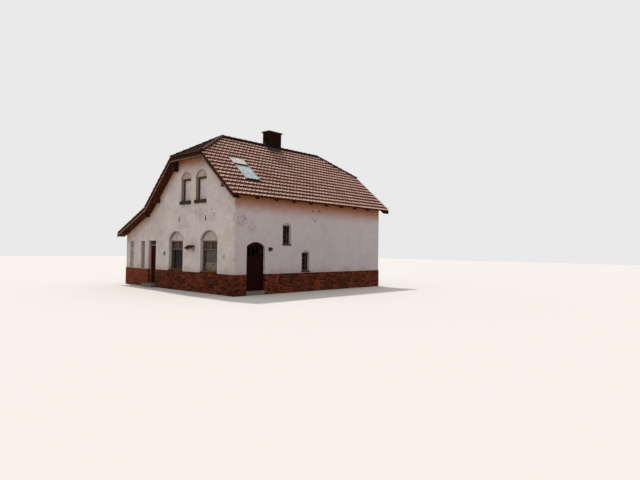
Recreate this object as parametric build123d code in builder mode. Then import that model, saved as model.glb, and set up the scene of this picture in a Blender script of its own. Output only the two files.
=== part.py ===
"""Railway station building: rendered walls on a brick plinth under a half-hipped pantile roof
with a low catslide on one side. Millimetres, +Z up, the platform gable looks along -Y."""
import os
from math import atan, cos, radians, sin, tan
from build123d import *

os.makedirs("parts", exist_ok=True)

# Driving dimensions
WALL_R = 4980.0            # outer face of the right-hand side wall (x)
WALL_L = -5020.0           # outer face of the left-hand side wall (x)
HALF_L = 5200.0            # outer faces of the two gable walls (y = -HALF_L, +HALF_L)
WALL_T = 380.0             # wall thickness
PLINTH_H = 933.0           # brick plinth: fourteen courses
PLINTH_OUT = 22.0          # plinth stands proud of the rendered wall
FLOOR_Z = 190.0            # ground floor level
SPLIT_Z = 3000.0           # joint between the ground storey and the gable above it
UPPER_Z0 = 3270.0          # underside of the upper floor
UPPER_Z1 = 3520.0          # top of the upper floor

RIDGE_X = 1521.0           # the ridge lies off centre
RIDGE_Z = 7772.0
EAVE_OUT_R = 440.0         # tile edge of the right eave, out from the wall
EAVE_R_Z = 4463.0
KINK_X = -2320.0           # where the left slope turns into the catslide
PITCH_L = 43.0
EAVE_OUT_L = 378.0         # tile edge of the left eave; the gutter reaches a little beyond it
EAVE_L_Z = 2907.0
HIP_DROP = 1230.0          # tile edge of the half hips, under the ridge
HIP_OUT = 412.0            # and out from the gable wall
PITCH_H = 30.0
VERGE_OUT = 440.0          # tile edge at the gable verges, out from the wall
TILE_D = 70.0              # tiles and battens, square to the slope
BOARD_D = 100.0            # underside of the roof boarding, from the tile face
RAFTER_D = 250.0           # underside of the rafters, from the tile face
FIT = 0.3                  # gap left between pieces that seat on each other
TILE_COLUMNS = 49          # pantiles across each main slope
HIP_COLUMNS = 12           # and across the eave of a half hip
ROLL_H = 33.0              # a pantile's roll stands this high over its pan
ROLL_FOOT = 112.0
ROLL_TOP = 44.0
ROLL_AT = 0.83             # place of the roll across the tile, from its left edge

RAFTER_W = 90.0
RAFTER_IN_FRONT = 970.0    # first rafter, behind the face of the platform gable
RAFTER_IN_REAR = 1450.0    # last one, before the face of the rear gable
RAFTER_N = 8
RAFTER_TAIL = 45.0         # rafter ends stop this far inside the tile edge of the right eave
RAFTER_LEVEL = 175.0       # level underside of the right tails, under the tile edge
RAFTER_TAIL_L = 105.0      # and this far inside the left one, to leave room for the gutter
PURLIN_W = 160.0
PURLIN_OUT = 300.0         # purlins reach this far beyond the gable walls

CH_X0, CH_X1 = RIDGE_X - 191.0, RIDGE_X + 309.0
CH_Y0, CH_Y1 = -630.0, 270.0
CH_TOP = RIDGE_Z + 698.0
CH_CAP = 65.0
CH_CAP_OUT = 57.0

DOOR_X0 = WALL_L + 2500.0
DOOR_X1 = DOOR_X0 + 780.0
DOOR_HEAD = 2444.0
DOOR_TRANSOM = 2183.0
DOOR_REVEAL = 120.0

# wide windows and tall slots of the ground storey, windows of the gable: x, x
WIN_LOW = ((WALL_R - 5420.0, WALL_R - 4130.0), (WALL_R - 2615.0, WALL_R - 1285.0))
WIN_LOW_Z0 = PLINTH_H + 45.0
WIN_LOW_HEAD = 2433.0
WIN_LOW_RISE = 440.0
WIN_TRANSOM = 2013.0
WIN_UP = ((RIDGE_X - 911.0, RIDGE_X - 41.0), (RIDGE_X + 369.0, RIDGE_X + 1249.0))
WIN_UP_Z0 = 4353.0
WIN_UP_HEAD = 5453.0
WIN_UP_RISE = 280.0
SLOTS = ((WALL_L + 420.0, WALL_L + 870.0), (WALL_L + 1650.0, WALL_L + 2100.0))
SLOT_Z0 = PLINTH_H + 40.0
SLOT_Z1 = 2413.0
REVEAL_LOW = 140.0
REVEAL_UP = 205.0
REVEAL_SLOT = 100.0

SIDE_Y0 = -HALF_L + 650.0
SIDE_Y1 = -HALF_L + 1710.0
SIDE_SPRING = 2173.0
SIDE_RISE = 210.0
# small arched windows of the side walls: y, y, sill and crown of the arch
RIGHT_WINDOWS = ((-2410.0, -1880.0, 2323.0, 3323.0), (-1120.0, -580.0, 1033.0, 2033.0))
LEFT_WINDOWS = ((-2900.0, -2370.0, 1150.0, 2150.0), (2370.0, 2900.0, 1150.0, 2150.0))
SMALL_RISE = 108.0
SMALL_REVEAL = 128.0

SKY = ((2080.0, 2680.0), (2780.0, 3900.0))   # distances down the slope from the ridge
SKY_Y0 = -HALF_L + 910.0
SKY_Y1 = -HALF_L + 1780.0

# Derived roof geometry
EAVE_R_X = WALL_R + EAVE_OUT_R
EAVE_L_X = WALL_L - EAVE_OUT_L
HIP_EAVE_Z = RIDGE_Z - HIP_DROP
HIP_EAVE_Y = HALF_L + HIP_OUT
VERGE_Y = HALF_L + VERGE_OUT
TAN_R = (RIDGE_Z - EAVE_R_Z) / (EAVE_R_X - RIDGE_X)
COS_R = cos(atan(TAN_R))
SIN_R = sin(atan(TAN_R))
TAN_L = tan(radians(PITCH_L))
COS_L = cos(radians(PITCH_L))
KINK_Z = RIDGE_Z - TAN_L * (RIDGE_X - KINK_X)
TAN_C = (KINK_Z - EAVE_L_Z) / (KINK_X - EAVE_L_X)
COS_C = cos(atan(TAN_C))
TAN_H = tan(radians(PITCH_H))
COS_H = cos(radians(PITCH_H))
SIN_H = sin(radians(PITCH_H))
SIN_L = sin(radians(PITCH_L))
PLAIN = 95.0               # strip under the ridge and hip tiles where the pans are filled


def right_z(x, d):
    """Height of the right slope at x, a distance d under the tile face."""
    return RIDGE_Z - TAN_R * (x - RIDGE_X) - d / COS_R


def left_z(x, d):
    """Height of the steep left slope at x."""
    return RIDGE_Z + TAN_L * (x - RIDGE_X) - d / COS_L


def cat_z(x, d):
    """Height of the catslide at x."""
    return KINK_Z + TAN_C * (x - KINK_X) - d / COS_C


def hip_z(y, d):
    """Height of a half hip at a distance y from the middle of the building."""
    return HIP_EAVE_Z + TAN_H * (HIP_EAVE_Y - abs(y)) - d / COS_H


def ridge_pt(d):
    """Meeting point of both main slopes, a distance d under their tile faces."""
    x = RIDGE_X + (d / COS_L - d / COS_R) / (TAN_L + TAN_R)
    return (x, right_z(x, d))


def kink_pt(d):
    """Meeting point of the steep left slope and the catslide."""
    x = (KINK_Z - d / COS_C - TAN_C * KINK_X - RIDGE_Z + d / COS_L + TAN_L * RIDGE_X) / (TAN_L - TAN_C)
    return (x, cat_z(x, d))


def kink_plane():
    """Plane between the steep left slope and the catslide; its normal looks up the roof."""
    low, high = kink_pt(200.0), kink_pt(0.0)
    return Plane(origin=(high[0], 0, high[1]), z_dir=(high[1] - low[1], 0, low[0] - high[0]))


def roof_under(x, d):
    """Height of the main roof at x, whichever slope covers it."""
    if x >= ridge_pt(d)[0]:
        return right_z(x, d)
    if x >= kink_pt(d)[0]:
        return left_z(x, d)
    return cat_z(x, d)


def hip_point(side, d, y):
    """Point on the hip line of a half hip; side 1 is the right slope, -1 the left one."""
    z = hip_z(y, d)
    if side > 0:
        return Vector(RIDGE_X + (RIDGE_Z - d / COS_R - z) / TAN_R, y, z)
    return Vector(RIDGE_X - (RIDGE_Z - d / COS_L - z) / TAN_L, y, z)


def mitre(side, end, shift=0.0):
    """Mitre plane between a half hip and a main slope; its normal looks to the hip."""
    a = hip_point(side, 0.0, end * HIP_EAVE_Y)
    b = hip_point(side, 0.0, end * (HIP_EAVE_Y - 1500.0))
    c = hip_point(side, 200.0, end * (HIP_EAVE_Y - 1500.0))
    n = (b - a).cross(c - a).normalized()
    if n.Y * end < 0:
        n = -n
    return Plane(origin=a + n * shift, z_dir=n)


# Shape helpers; each one works on the piece that is being built
def block(x0, x1, y0, y1, z0, z1, mode=Mode.ADD):
    """Box from its six limits."""
    with Locations(((x0 + x1) / 2, (y0 + y1) / 2, (z0 + z1) / 2)):
        Box(x1 - x0, y1 - y0, z1 - z0, mode=mode)


def prism_xz(points, y0, y1, mode=Mode.ADD):
    """Polygon in x and z, drawn out from y0 to y1."""
    with BuildSketch(Plane.XZ.offset(-y1)) as outline:
        with BuildLine():
            Polyline(*points, close=True)
        make_face()
    extrude(to_extrude=outline.sketch, amount=y1 - y0, mode=mode)


def prism_yz(points, x0, x1, mode=Mode.ADD):
    """Polygon in y and z, drawn out from x0 to x1."""
    with BuildSketch(Plane.YZ.offset(x0)) as outline:
        with BuildLine():
            Polyline(*points, close=True)
        make_face()
    extrude(to_extrude=outline.sketch, amount=x1 - x0, mode=mode)


def arch_yz(y0, y1, z0, spring, top, x0, x1, mode=Mode.ADD):
    """Opening shape with a segmental arch, drawn out along x."""
    with BuildSketch(Plane.YZ.offset(x0)) as outline:
        with BuildLine():
            Polyline((y0, spring), (y0, z0), (y1, z0), (y1, spring))
            ThreePointArc((y1, spring), ((y0 + y1) / 2, top), (y0, spring))
        make_face()
    extrude(to_extrude=outline.sketch, amount=x1 - x0, mode=mode)


def under_roof(d, mode=Mode.INTERSECT):
    """Everything that lies more than d under the tile faces of all slopes."""
    r, k = ridge_pt(d), kink_pt(d)
    floor = -50.0
    with BuildPart(mode=Mode.PRIVATE) as room:
        prism_xz([r, (EAVE_R_X, right_z(EAVE_R_X, d)), (EAVE_R_X, floor), (EAVE_L_X, floor),
                  (EAVE_L_X, cat_z(EAVE_L_X, d)), k], -VERGE_Y, VERGE_Y)
        for end in (-1, 1):
            split(bisect_by=Plane(origin=(0, end * HIP_EAVE_Y, hip_z(HIP_EAVE_Y, d)),
                                  z_dir=(0, end * SIN_H, COS_H)), keep=Keep.BOTTOM)
    add(room.part, mode=mode)


def right_slab(d0, d1, reach, x_end=EAVE_R_X, mode=Mode.ADD):
    """Layer of the right slope between two depths, mitred to both half hips."""
    with BuildPart(mode=Mode.PRIVATE) as slab:
        prism_xz([ridge_pt(d0), (x_end, right_z(x_end, d0)), (x_end, right_z(x_end, d1)),
                  ridge_pt(d1)], -reach, reach)
        for end in (-1, 1):
            split(bisect_by=mitre(1, end), keep=Keep.BOTTOM)
    add(slab.part, mode=mode)


def left_slab(d0, d1, reach, x_end=EAVE_L_X, mode=Mode.ADD):
    """Layer of the left slope and the catslide between two depths, mitred to the half hips."""
    with BuildPart(mode=Mode.PRIVATE) as slab:
        prism_xz([ridge_pt(d0), ridge_pt(d1), kink_pt(d1), (x_end, cat_z(x_end, d1)),
                  (x_end, cat_z(x_end, d0)), kink_pt(d0)], -reach, reach)
        for end in (-1, 1):
            split(bisect_by=mitre(-1, end), keep=Keep.BOTTOM)
    add(slab.part, mode=mode)


def hip_slab(end, d0, d1, reach, inner=0.0, mode=Mode.ADD):
    """Layer of a half hip between two depths, mitred to both main slopes."""
    top = RIDGE_Z + 400.0
    y_top = HIP_EAVE_Y - (top - HIP_EAVE_Z) / TAN_H
    if inner > 0:
        y_top = inner
    pts = [(end * reach, hip_z(reach, d0)), (end * reach, hip_z(reach, d1)),
           (end * y_top, hip_z(y_top, d1)), (end * y_top, hip_z(y_top, d0))]
    with BuildPart(mode=Mode.PRIVATE) as slab:
        prism_yz(pts, WALL_L, WALL_R)
        split(bisect_by=mitre(1, end), keep=Keep.TOP)
        split(bisect_by=mitre(-1, end), keep=Keep.TOP)
    add(slab.part, mode=mode)


def rafter_right(y, w, d0, d1, mode=Mode.ADD):
    """One rafter of the right slope."""
    x0, x1 = RIDGE_X + 1.0, EAVE_R_X - RAFTER_TAIL
    prism_xz([(x0, right_z(x0, d0)), (x1, right_z(x1, d0)), (x1, right_z(x1, d1)),
              (x0, right_z(x0, d1))], y - w / 2, y + w / 2, mode=mode)


def rafter_left(y, w, d0, d1, mode=Mode.ADD):
    """One rafter of the left slope with its catslide tail."""
    x0, x1 = RIDGE_X - 1.0, EAVE_L_X + RAFTER_TAIL_L
    prism_xz([(x0, left_z(x0, d0)), (x0, left_z(x0, d1)), kink_pt(d1), (x1, cat_z(x1, d1)),
              (x1, cat_z(x1, d0)), kink_pt(d0)], y - w / 2, y + w / 2, mode=mode)


def pans(slope, width, columns, length, mode=Mode.SUBTRACT):
    """Hollow pans between the rolls of the tiles, drawn out down a slope from under the ridge tiles.
    The slope's plane looks down the roof, with x across it and y outwards."""
    pitch = width / columns
    foot, top = (pitch - ROLL_FOOT) / 2, (pitch - ROLL_TOP) / 2
    with BuildSketch(slope.offset(PLAIN)) as hollows:
        with GridLocations(pitch, 0, columns, 1):
            with Locations(((ROLL_AT - 1) * pitch, 0)):
                Polygon((-foot, -ROLL_H), (foot, -ROLL_H), (top, 2), (-top, 2), align=None)
    extrude(to_extrude=hollows.sketch, amount=length - PLAIN, mode=mode)


def right_pans():
    """Pans of the right slope, ending under the hip tiles."""
    slope = Plane(origin=(RIDGE_X, 0, RIDGE_Z), x_dir=(0, 1, 0), z_dir=(COS_R, 0, -SIN_R))
    with BuildPart(mode=Mode.PRIVATE) as hollows:
        pans(slope, 2 * VERGE_Y, TILE_COLUMNS, (RIDGE_Z - EAVE_R_Z) / SIN_R + 60, Mode.ADD)
        for end in (-1, 1):
            split(bisect_by=mitre(1, end, -PLAIN), keep=Keep.BOTTOM)
    add(hollows.part, mode=Mode.SUBTRACT)


def steep_pans():
    """Pans of the steep left slope, mitred to those of the catslide."""
    slope = Plane(origin=(RIDGE_X, 0, RIDGE_Z), x_dir=(0, -1, 0), z_dir=(-COS_L, 0, -SIN_L))
    with BuildPart(mode=Mode.PRIVATE) as hollows:
        pans(slope, 2 * VERGE_Y, TILE_COLUMNS, (RIDGE_Z - KINK_Z) / SIN_L + 60, Mode.ADD)
        split(bisect_by=kink_plane(), keep=Keep.TOP)
        for end in (-1, 1):
            split(bisect_by=mitre(-1, end, -PLAIN), keep=Keep.BOTTOM)
    add(hollows.part, mode=Mode.SUBTRACT)


def catslide_pans():
    """Pans of the catslide, from the kink to its eave."""
    sin_c = sin(atan(TAN_C))
    top = (KINK_X + 2 * PLAIN * COS_C, 0, KINK_Z + 2 * PLAIN * sin_c)
    slope = Plane(origin=top, x_dir=(0, -1, 0), z_dir=(-COS_C, 0, -sin_c))
    with BuildPart(mode=Mode.PRIVATE) as hollows:
        pans(slope, 2 * VERGE_Y, TILE_COLUMNS, (KINK_X - EAVE_L_X) / COS_C + 2 * PLAIN + 60, Mode.ADD)
        split(bisect_by=kink_plane(), keep=Keep.BOTTOM)
    add(hollows.part, mode=Mode.SUBTRACT)


def hip_pans(end):
    """Pans of one half hip, ending under its hip tiles."""
    left, right = hip_point(-1, 0.0, end * HIP_EAVE_Y), hip_point(1, 0.0, end * HIP_EAVE_Y)
    top = ((left.X + right.X) / 2, end * (HIP_EAVE_Y - HIP_DROP / TAN_H), RIDGE_Z)
    slope = Plane(origin=top, x_dir=(-end, 0, 0), z_dir=(0, end * COS_H, -SIN_H))
    with BuildPart(mode=Mode.PRIVATE) as hollows:
        pans(slope, right.X - left.X, HIP_COLUMNS, HIP_DROP / SIN_H + 60, Mode.ADD)
        split(bisect_by=mitre(1, end, PLAIN), keep=Keep.TOP)
        split(bisect_by=mitre(-1, end, PLAIN), keep=Keep.TOP)
    add(hollows.part, mode=Mode.SUBTRACT)


RAFTER_STEP = (2 * HALF_L - RAFTER_IN_FRONT - RAFTER_IN_REAR) / (RAFTER_N - 1)
RAFTERS = [-HALF_L + RAFTER_IN_FRONT + RAFTER_STEP * i for i in range(RAFTER_N)]

# purlins: side that looks to the ridge, its height there, and the slope (1 is the right one)
PURLINS = ((RIDGE_X - 1191.0, 464.0, -1), (RIDGE_X - 2921.0, 326.0, -1), (KINK_X - 120.0, 179.0, -1),
           (WALL_L + 310.0, 73.0, -1), (RIDGE_X + 769.0, 454.0, 1), (WALL_R - 660.0, 290.0, 1))


def purlin(x, height, side, gap, y_end, mode=Mode.ADD):
    """One purlin; its top follows the underside of the rafters."""
    a, b = (x - PURLIN_W, x) if side < 0 else (x, x + PURLIN_W)
    a, b = a - gap, b + gap
    d = RAFTER_D + FIT
    z = roof_under(x, d) - height
    prism_xz([(a, z - gap), (b, z - gap), (b, roof_under(b, d) + gap), (a, roof_under(a, d) + gap)],
             -y_end, y_end, mode=mode)


def cut_purlins():
    """Pockets for the purlins through both gable walls."""
    for x, height, side in PURLINS:
        purlin(x, height, side, 0.5, VERGE_Y, Mode.SUBTRACT)


# Ground: plinth and ground floor
P_R, P_L, P_Y = WALL_R + PLINTH_OUT, WALL_L - PLINTH_OUT, HALF_L + PLINTH_OUT
IN_R, IN_L, IN_Y = WALL_R - WALL_T, WALL_L + WALL_T, HALF_L - WALL_T

with BuildPart() as plinth_front:
    block(P_L, DOOR_X0, -P_Y, -IN_Y, 0, PLINTH_H)
    block(DOOR_X1, P_R, -P_Y, -IN_Y, 0, PLINTH_H)
plinth_front.part.label = "plinth_front"
export_step(plinth_front.part, "parts/plinth_front.step")

with BuildPart() as plinth_sides:
    block(P_L, IN_L, -IN_Y, IN_Y, 0, PLINTH_H)
    block(IN_R, P_R, -IN_Y, SIDE_Y0, 0, PLINTH_H)
    block(IN_R, P_R, SIDE_Y1, IN_Y, 0, PLINTH_H)
plinth_sides.part.label = "plinth_sides"
export_step(plinth_sides.part, "parts/plinth_sides.step")

with BuildPart() as plinth_rear:
    block(P_L, P_R, IN_Y, P_Y, 0, PLINTH_H)
plinth_rear.part.label = "plinth_rear"
export_step(plinth_rear.part, "parts/plinth_rear.step")

with BuildPart() as floor_ground:
    block(IN_L, IN_R, -IN_Y, IN_Y, 0, FLOOR_Z)
floor_ground.part.label = "floor_ground"
export_step(floor_ground.part, "parts/floor_ground.step")

# the front step fills the doorway down to the ground and stands out in front of it
STEP_OUT = 320.0
STEP_SIDE = 120.0
STEP_Z = FLOOR_Z - 2.0
with BuildPart() as door_steps:
    block(DOOR_X0, DOOR_X1, -HALF_L - STEP_OUT, -IN_Y, 0, STEP_Z)
    block(DOOR_X0 - STEP_SIDE, DOOR_X0, -HALF_L - STEP_OUT, -P_Y, 0, STEP_Z)
    block(DOOR_X1, DOOR_X1 + STEP_SIDE, -HALF_L - STEP_OUT, -P_Y, 0, STEP_Z)
    block(IN_R, P_R, SIDE_Y0, SIDE_Y1, 0, STEP_Z)
door_steps.part.label = "door_steps"
export_step(door_steps.part, "parts/door_steps.step")


# Walls
ARCH_LOW = REVEAL_LOW + 15.0       # depth of the arched niches over the wide windows
ARCH_UP = 75.0                     # and over the gable windows


def window_arch(x0, x1, head, rise, end, depth):
    """Arched niche over a window; end -1 is the platform gable, 1 the rear one."""
    y0, y1 = (-HALF_L - 1, -HALF_L + depth) if end < 0 else (HALF_L - depth, HALF_L + 1)
    with BuildSketch(Plane.XZ.offset(-y1)) as outline:
        with BuildLine():
            Line((x0, head), (x1, head))
            ThreePointArc((x1, head), ((x0 + x1) / 2, head + rise), (x0, head))
        make_face()
    extrude(to_extrude=outline.sketch, amount=y1 - y0, mode=Mode.SUBTRACT)


def ground_windows(end):
    """Cuts both wide windows of the ground storey."""
    y0, y1 = (-HALF_L - 1, -IN_Y + 1) if end < 0 else (IN_Y - 1, HALF_L + 1)
    for x0, x1 in WIN_LOW:
        block(x0, x1, y0, y1, PLINTH_H - 1, WIN_LOW_HEAD, Mode.SUBTRACT)
        window_arch(x0, x1, WIN_LOW_HEAD, WIN_LOW_RISE, end, ARCH_LOW)


def upper_windows(end):
    """Cuts both windows of the gable storey."""
    y0, y1 = (-HALF_L - 1, -IN_Y + 1) if end < 0 else (IN_Y - 1, HALF_L + 1)
    for x0, x1 in WIN_UP:
        block(x0, x1, y0, y1, WIN_UP_Z0, WIN_UP_HEAD, Mode.SUBTRACT)
        window_arch(x0, x1, WIN_UP_HEAD, WIN_UP_RISE, end, ARCH_UP)


with BuildPart() as front_wall_left:
    block(WALL_L, DOOR_X0, -HALF_L, -IN_Y, PLINTH_H, SPLIT_Z)
    for x0, x1 in SLOTS:
        block(x0, x1, -HALF_L - 1, -IN_Y + 1, SLOT_Z0, SLOT_Z1, Mode.SUBTRACT)
    under_roof(BOARD_D + FIT)
    cut_purlins()
front_wall_left.part.label = "front_wall_left"
export_step(front_wall_left.part, "parts/front_wall_left.step")

with BuildPart() as front_wall_right:
    block(DOOR_X1, WALL_R, -HALF_L, -IN_Y, PLINTH_H, SPLIT_Z)
    ground_windows(-1)
front_wall_right.part.label = "front_wall_right"
export_step(front_wall_right.part, "parts/front_wall_right.step")

with BuildPart() as front_wall_over_door:
    block(DOOR_X0, DOOR_X1, -HALF_L, -IN_Y, DOOR_HEAD, SPLIT_Z)
front_wall_over_door.part.label = "front_wall_over_door"
export_step(front_wall_over_door.part, "parts/front_wall_over_door.step")

with BuildPart() as front_gable:
    block(WALL_L, WALL_R, -HALF_L, -IN_Y, SPLIT_Z, RIDGE_Z)
    under_roof(BOARD_D + FIT)
    upper_windows(-1)
    cut_purlins()
front_gable.part.label = "front_gable"
export_step(front_gable.part, "parts/front_gable.step")

with BuildPart() as rear_wall:
    block(WALL_L, WALL_R, IN_Y, HALF_L, PLINTH_H, SPLIT_Z)
    ground_windows(1)
    under_roof(BOARD_D + FIT)
    cut_purlins()
rear_wall.part.label = "rear_wall"
export_step(rear_wall.part, "parts/rear_wall.step")

with BuildPart() as rear_gable:
    block(WALL_L, WALL_R, IN_Y, HALF_L, SPLIT_Z, RIDGE_Z)
    under_roof(BOARD_D + FIT)
    upper_windows(1)
    cut_purlins()
rear_gable.part.label = "rear_gable"
export_step(rear_gable.part, "parts/rear_gable.step")

with BuildPart() as right_wall:
    block(IN_R, WALL_R, -IN_Y, IN_Y, PLINTH_H, EAVE_R_Z + 600)
    under_roof(BOARD_D + FIT)
    arch_yz(SIDE_Y0, SIDE_Y1, 0, SIDE_SPRING, SIDE_SPRING + SIDE_RISE, IN_R - 1, WALL_R + 1, Mode.SUBTRACT)
    for y0, y1, z0, z1 in RIGHT_WINDOWS:
        arch_yz(y0, y1, z0, z1 - SMALL_RISE, z1, IN_R - 1, WALL_R + 1, Mode.SUBTRACT)
    for y in RAFTERS:
        rafter_right(y, RAFTER_W + 1, BOARD_D - 20, RAFTER_D + FIT, Mode.SUBTRACT)
right_wall.part.label = "right_wall"
export_step(right_wall.part, "parts/right_wall.step")

with BuildPart() as left_wall:
    block(WALL_L, IN_L, -IN_Y, IN_Y, PLINTH_H, EAVE_L_Z + 600)
    under_roof(BOARD_D + FIT)
    for y0, y1, z0, z1 in LEFT_WINDOWS:
        arch_yz(y0, y1, z0, z1 - SMALL_RISE, z1, WALL_L - 1, IN_L + 1, Mode.SUBTRACT)
    for y in RAFTERS:
        rafter_left(y, RAFTER_W + 1, BOARD_D - 20, RAFTER_D + FIT, Mode.SUBTRACT)
    cut_purlins()
left_wall.part.label = "left_wall"
export_step(left_wall.part, "parts/left_wall.step")

UPPER_L = KINK_X - 80.0     # the upper floor ends under the kink of the roof
with BuildPart() as floor_upper:
    block(UPPER_L, IN_R, -IN_Y, IN_Y, UPPER_Z0, UPPER_Z1)
    block(CH_X0 - 10, CH_X1 + 10, CH_Y0 - 10, CH_Y1 + 10, UPPER_Z0 - 1, UPPER_Z1 + 1, Mode.SUBTRACT)
floor_upper.part.label = "floor_upper"
export_step(floor_upper.part, "parts/floor_upper.step")


# Roof
def chimney_hole():
    """Clears the chimney stack with a small gap all round."""
    block(CH_X0 - 5, CH_X1 + 5, CH_Y0 - 5, CH_Y1 + 5, RIDGE_Z - 1200, CH_TOP, Mode.SUBTRACT)


def on_right_slope(s, d):
    """Point in x and z at a distance s down the right slope and d under the tile face."""
    return (RIDGE_X + s * COS_R - d * SIN_R, RIDGE_Z - s * SIN_R - d * COS_R)


def sky_box(s0, s1, grow, d0, d1, mode=Mode.ADD):
    """Box square to the right slope, used for the roof windows and their holes."""
    prism_xz([on_right_slope(s0 - grow, d0), on_right_slope(s1 + grow, d0),
              on_right_slope(s1 + grow, d1), on_right_slope(s0 - grow, d1)],
             SKY_Y0 - grow, SKY_Y1 + grow, mode=mode)


with BuildPart() as roof_right:
    right_slab(0, TILE_D, VERGE_Y)
    right_pans()
    chimney_hole()
    for s0, s1 in SKY:
        sky_box(s0, s1, FIT, -100, 200, Mode.SUBTRACT)
roof_right.part.label = "roof_right"
export_step(roof_right.part, "parts/roof_right.step")

with BuildPart() as roof_left:
    left_slab(0, TILE_D, VERGE_Y)
    steep_pans()
    catslide_pans()
    chimney_hole()
roof_left.part.label = "roof_left"
export_step(roof_left.part, "parts/roof_left.step")

with BuildPart() as roof_half_hips:
    for end in (-1, 1):
        hip_slab(end, 0, TILE_D, HIP_EAVE_Y)
        hip_pans(end)
roof_half_hips.part.label = "roof_half_hips"
export_step(roof_half_hips.part, "parts/roof_half_hips.step")

BARGE_Y1 = VERGE_Y - 30.0          # outer face of the verge boards
BARGE_T = 25.0
VERGE_END = 227.0                  # level underside of the right verge ends, under the tile edge
BARGE_Y0 = BARGE_Y1 - BARGE_T
DECK_Y = BARGE_Y0 - FIT
DECK_X_R = EAVE_R_X - 30.0
DECK_X_L = EAVE_L_X + 30.0

with BuildPart() as boarding_right:
    right_slab(TILE_D + FIT, BOARD_D, DECK_Y, DECK_X_R)
    chimney_hole()
    for s0, s1 in SKY:
        sky_box(s0, s1, FIT, -100, 200, Mode.SUBTRACT)
boarding_right.part.label = "boarding_right"
export_step(boarding_right.part, "parts/boarding_right.step")

with BuildPart() as boarding_left:
    left_slab(TILE_D + FIT, BOARD_D, DECK_Y, DECK_X_L)
    chimney_hole()
boarding_left.part.label = "boarding_left"
export_step(boarding_left.part, "parts/boarding_left.step")

with BuildPart() as boarding_half_hips:
    hip_slab(-1, TILE_D + FIT, BOARD_D, DECK_Y)
    hip_slab(1, TILE_D + FIT, BOARD_D, DECK_Y)
boarding_half_hips.part.label = "boarding_half_hips"
export_step(boarding_half_hips.part, "parts/boarding_half_hips.step")

with BuildPart() as rafters:
    for y in RAFTERS:
        rafter_right(y, RAFTER_W, BOARD_D + FIT, RAFTER_D)
        rafter_left(y, RAFTER_W, BOARD_D + FIT, RAFTER_D)
    under_roof(BOARD_D + FIT)
    block(WALL_R, EAVE_R_X, -HALF_L, HALF_L, EAVE_R_Z - 900, EAVE_R_Z - RAFTER_LEVEL, Mode.SUBTRACT)
rafters.part.label = "rafters"
export_step(rafters.part, "parts/rafters.step")

with BuildPart() as purlins:
    for x, height, side in PURLINS:
        purlin(x, height, side, 0.0, HALF_L + PURLIN_OUT)
    under_roof(RAFTER_D + FIT)
purlins.part.label = "purlins"
export_step(purlins.part, "parts/purlins.step")

# verge boards follow the slopes; the boards of the half-hip eaves meet them in a mitre
EAVE_TOP_Z = hip_z(BARGE_Y1, TILE_D + 2)
EAVE_LOW_Z = hip_z(BARGE_Y1, RAFTER_D)


def slope_x(side, z, d):
    """Where the right (1) or left (-1) slope, d under its tile face, reaches a height."""
    if side > 0:
        return RIDGE_X + (RIDGE_Z - d / COS_R - z) / TAN_R
    return RIDGE_X - (RIDGE_Z - d / COS_L - z) / TAN_L


def verge_band(end, y0, y1, d0, d1):
    """Both verge strips of one gable, between two depths under the tile face."""
    if end < 0:
        y0, y1 = -y1, -y0
    za, zb = hip_z(BARGE_Y1, d0 + 2), hip_z(BARGE_Y1, d1)
    prism_xz([(slope_x(1, za, d0), za), (DECK_X_R, right_z(DECK_X_R, d0)),
              (DECK_X_R, right_z(DECK_X_R, d1)), (slope_x(1, zb, d1), zb)], y0, y1)
    prism_xz([(slope_x(-1, za, d0), za), (slope_x(-1, zb, d1), zb), kink_pt(d1),
              (DECK_X_L, cat_z(DECK_X_L, d1)), (DECK_X_L, cat_z(DECK_X_L, d0)), kink_pt(d0)], y0, y1)


def level_ends():
    """Cuts the lower ends of the right verges level."""
    for end in (-1, 1):
        y0, y1 = (-VERGE_Y - 50, -HALF_L) if end < 0 else (HALF_L, VERGE_Y + 50)
        block(WALL_R, EAVE_R_X + 50, y0, y1, EAVE_R_Z - 900, EAVE_R_Z - VERGE_END, Mode.SUBTRACT)


def hip_band(end, y0, y1, d0, d1):
    """Horizontal strip under the eave of one half hip."""
    if end < 0:
        y0, y1 = -y1, -y0
    za, zb = hip_z(BARGE_Y1, d0 + 2), hip_z(BARGE_Y1, d1)
    g = 0.5
    prism_xz([(slope_x(-1, za, d0) + g, za), (slope_x(1, za, d0) - g, za),
              (slope_x(1, zb, d1) - g, zb), (slope_x(-1, zb, d1) + g, zb)], y0, y1)


with BuildPart() as verge_boards:
    for end in (-1, 1):
        verge_band(end, BARGE_Y0, BARGE_Y1, TILE_D + FIT, RAFTER_D)
        hip_band(end, BARGE_Y0, BARGE_Y1, TILE_D + FIT, RAFTER_D)
    level_ends()
verge_boards.part.label = "verge_boards"
export_step(verge_boards.part, "parts/verge_boards.step")

TRIM_D0, TRIM_D1, TRIM_T = 180.0, 236.0, 16.0
with BuildPart() as verge_trims:
    for end in (-1, 1):
        verge_band(end, BARGE_Y1 + FIT, BARGE_Y1 + TRIM_T, TRIM_D0, TRIM_D1)
        hip_band(end, BARGE_Y1 + FIT, BARGE_Y1 + TRIM_T, TRIM_D0, TRIM_D1)
    level_ends()
verge_trims.part.label = "verge_trims"
export_step(verge_trims.part, "parts/verge_trims.step")

SOFFIT_D = 228.0
SOFFIT_Y0, SOFFIT_Y1 = HALF_L + FIT, BARGE_Y0 - FIT


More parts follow.
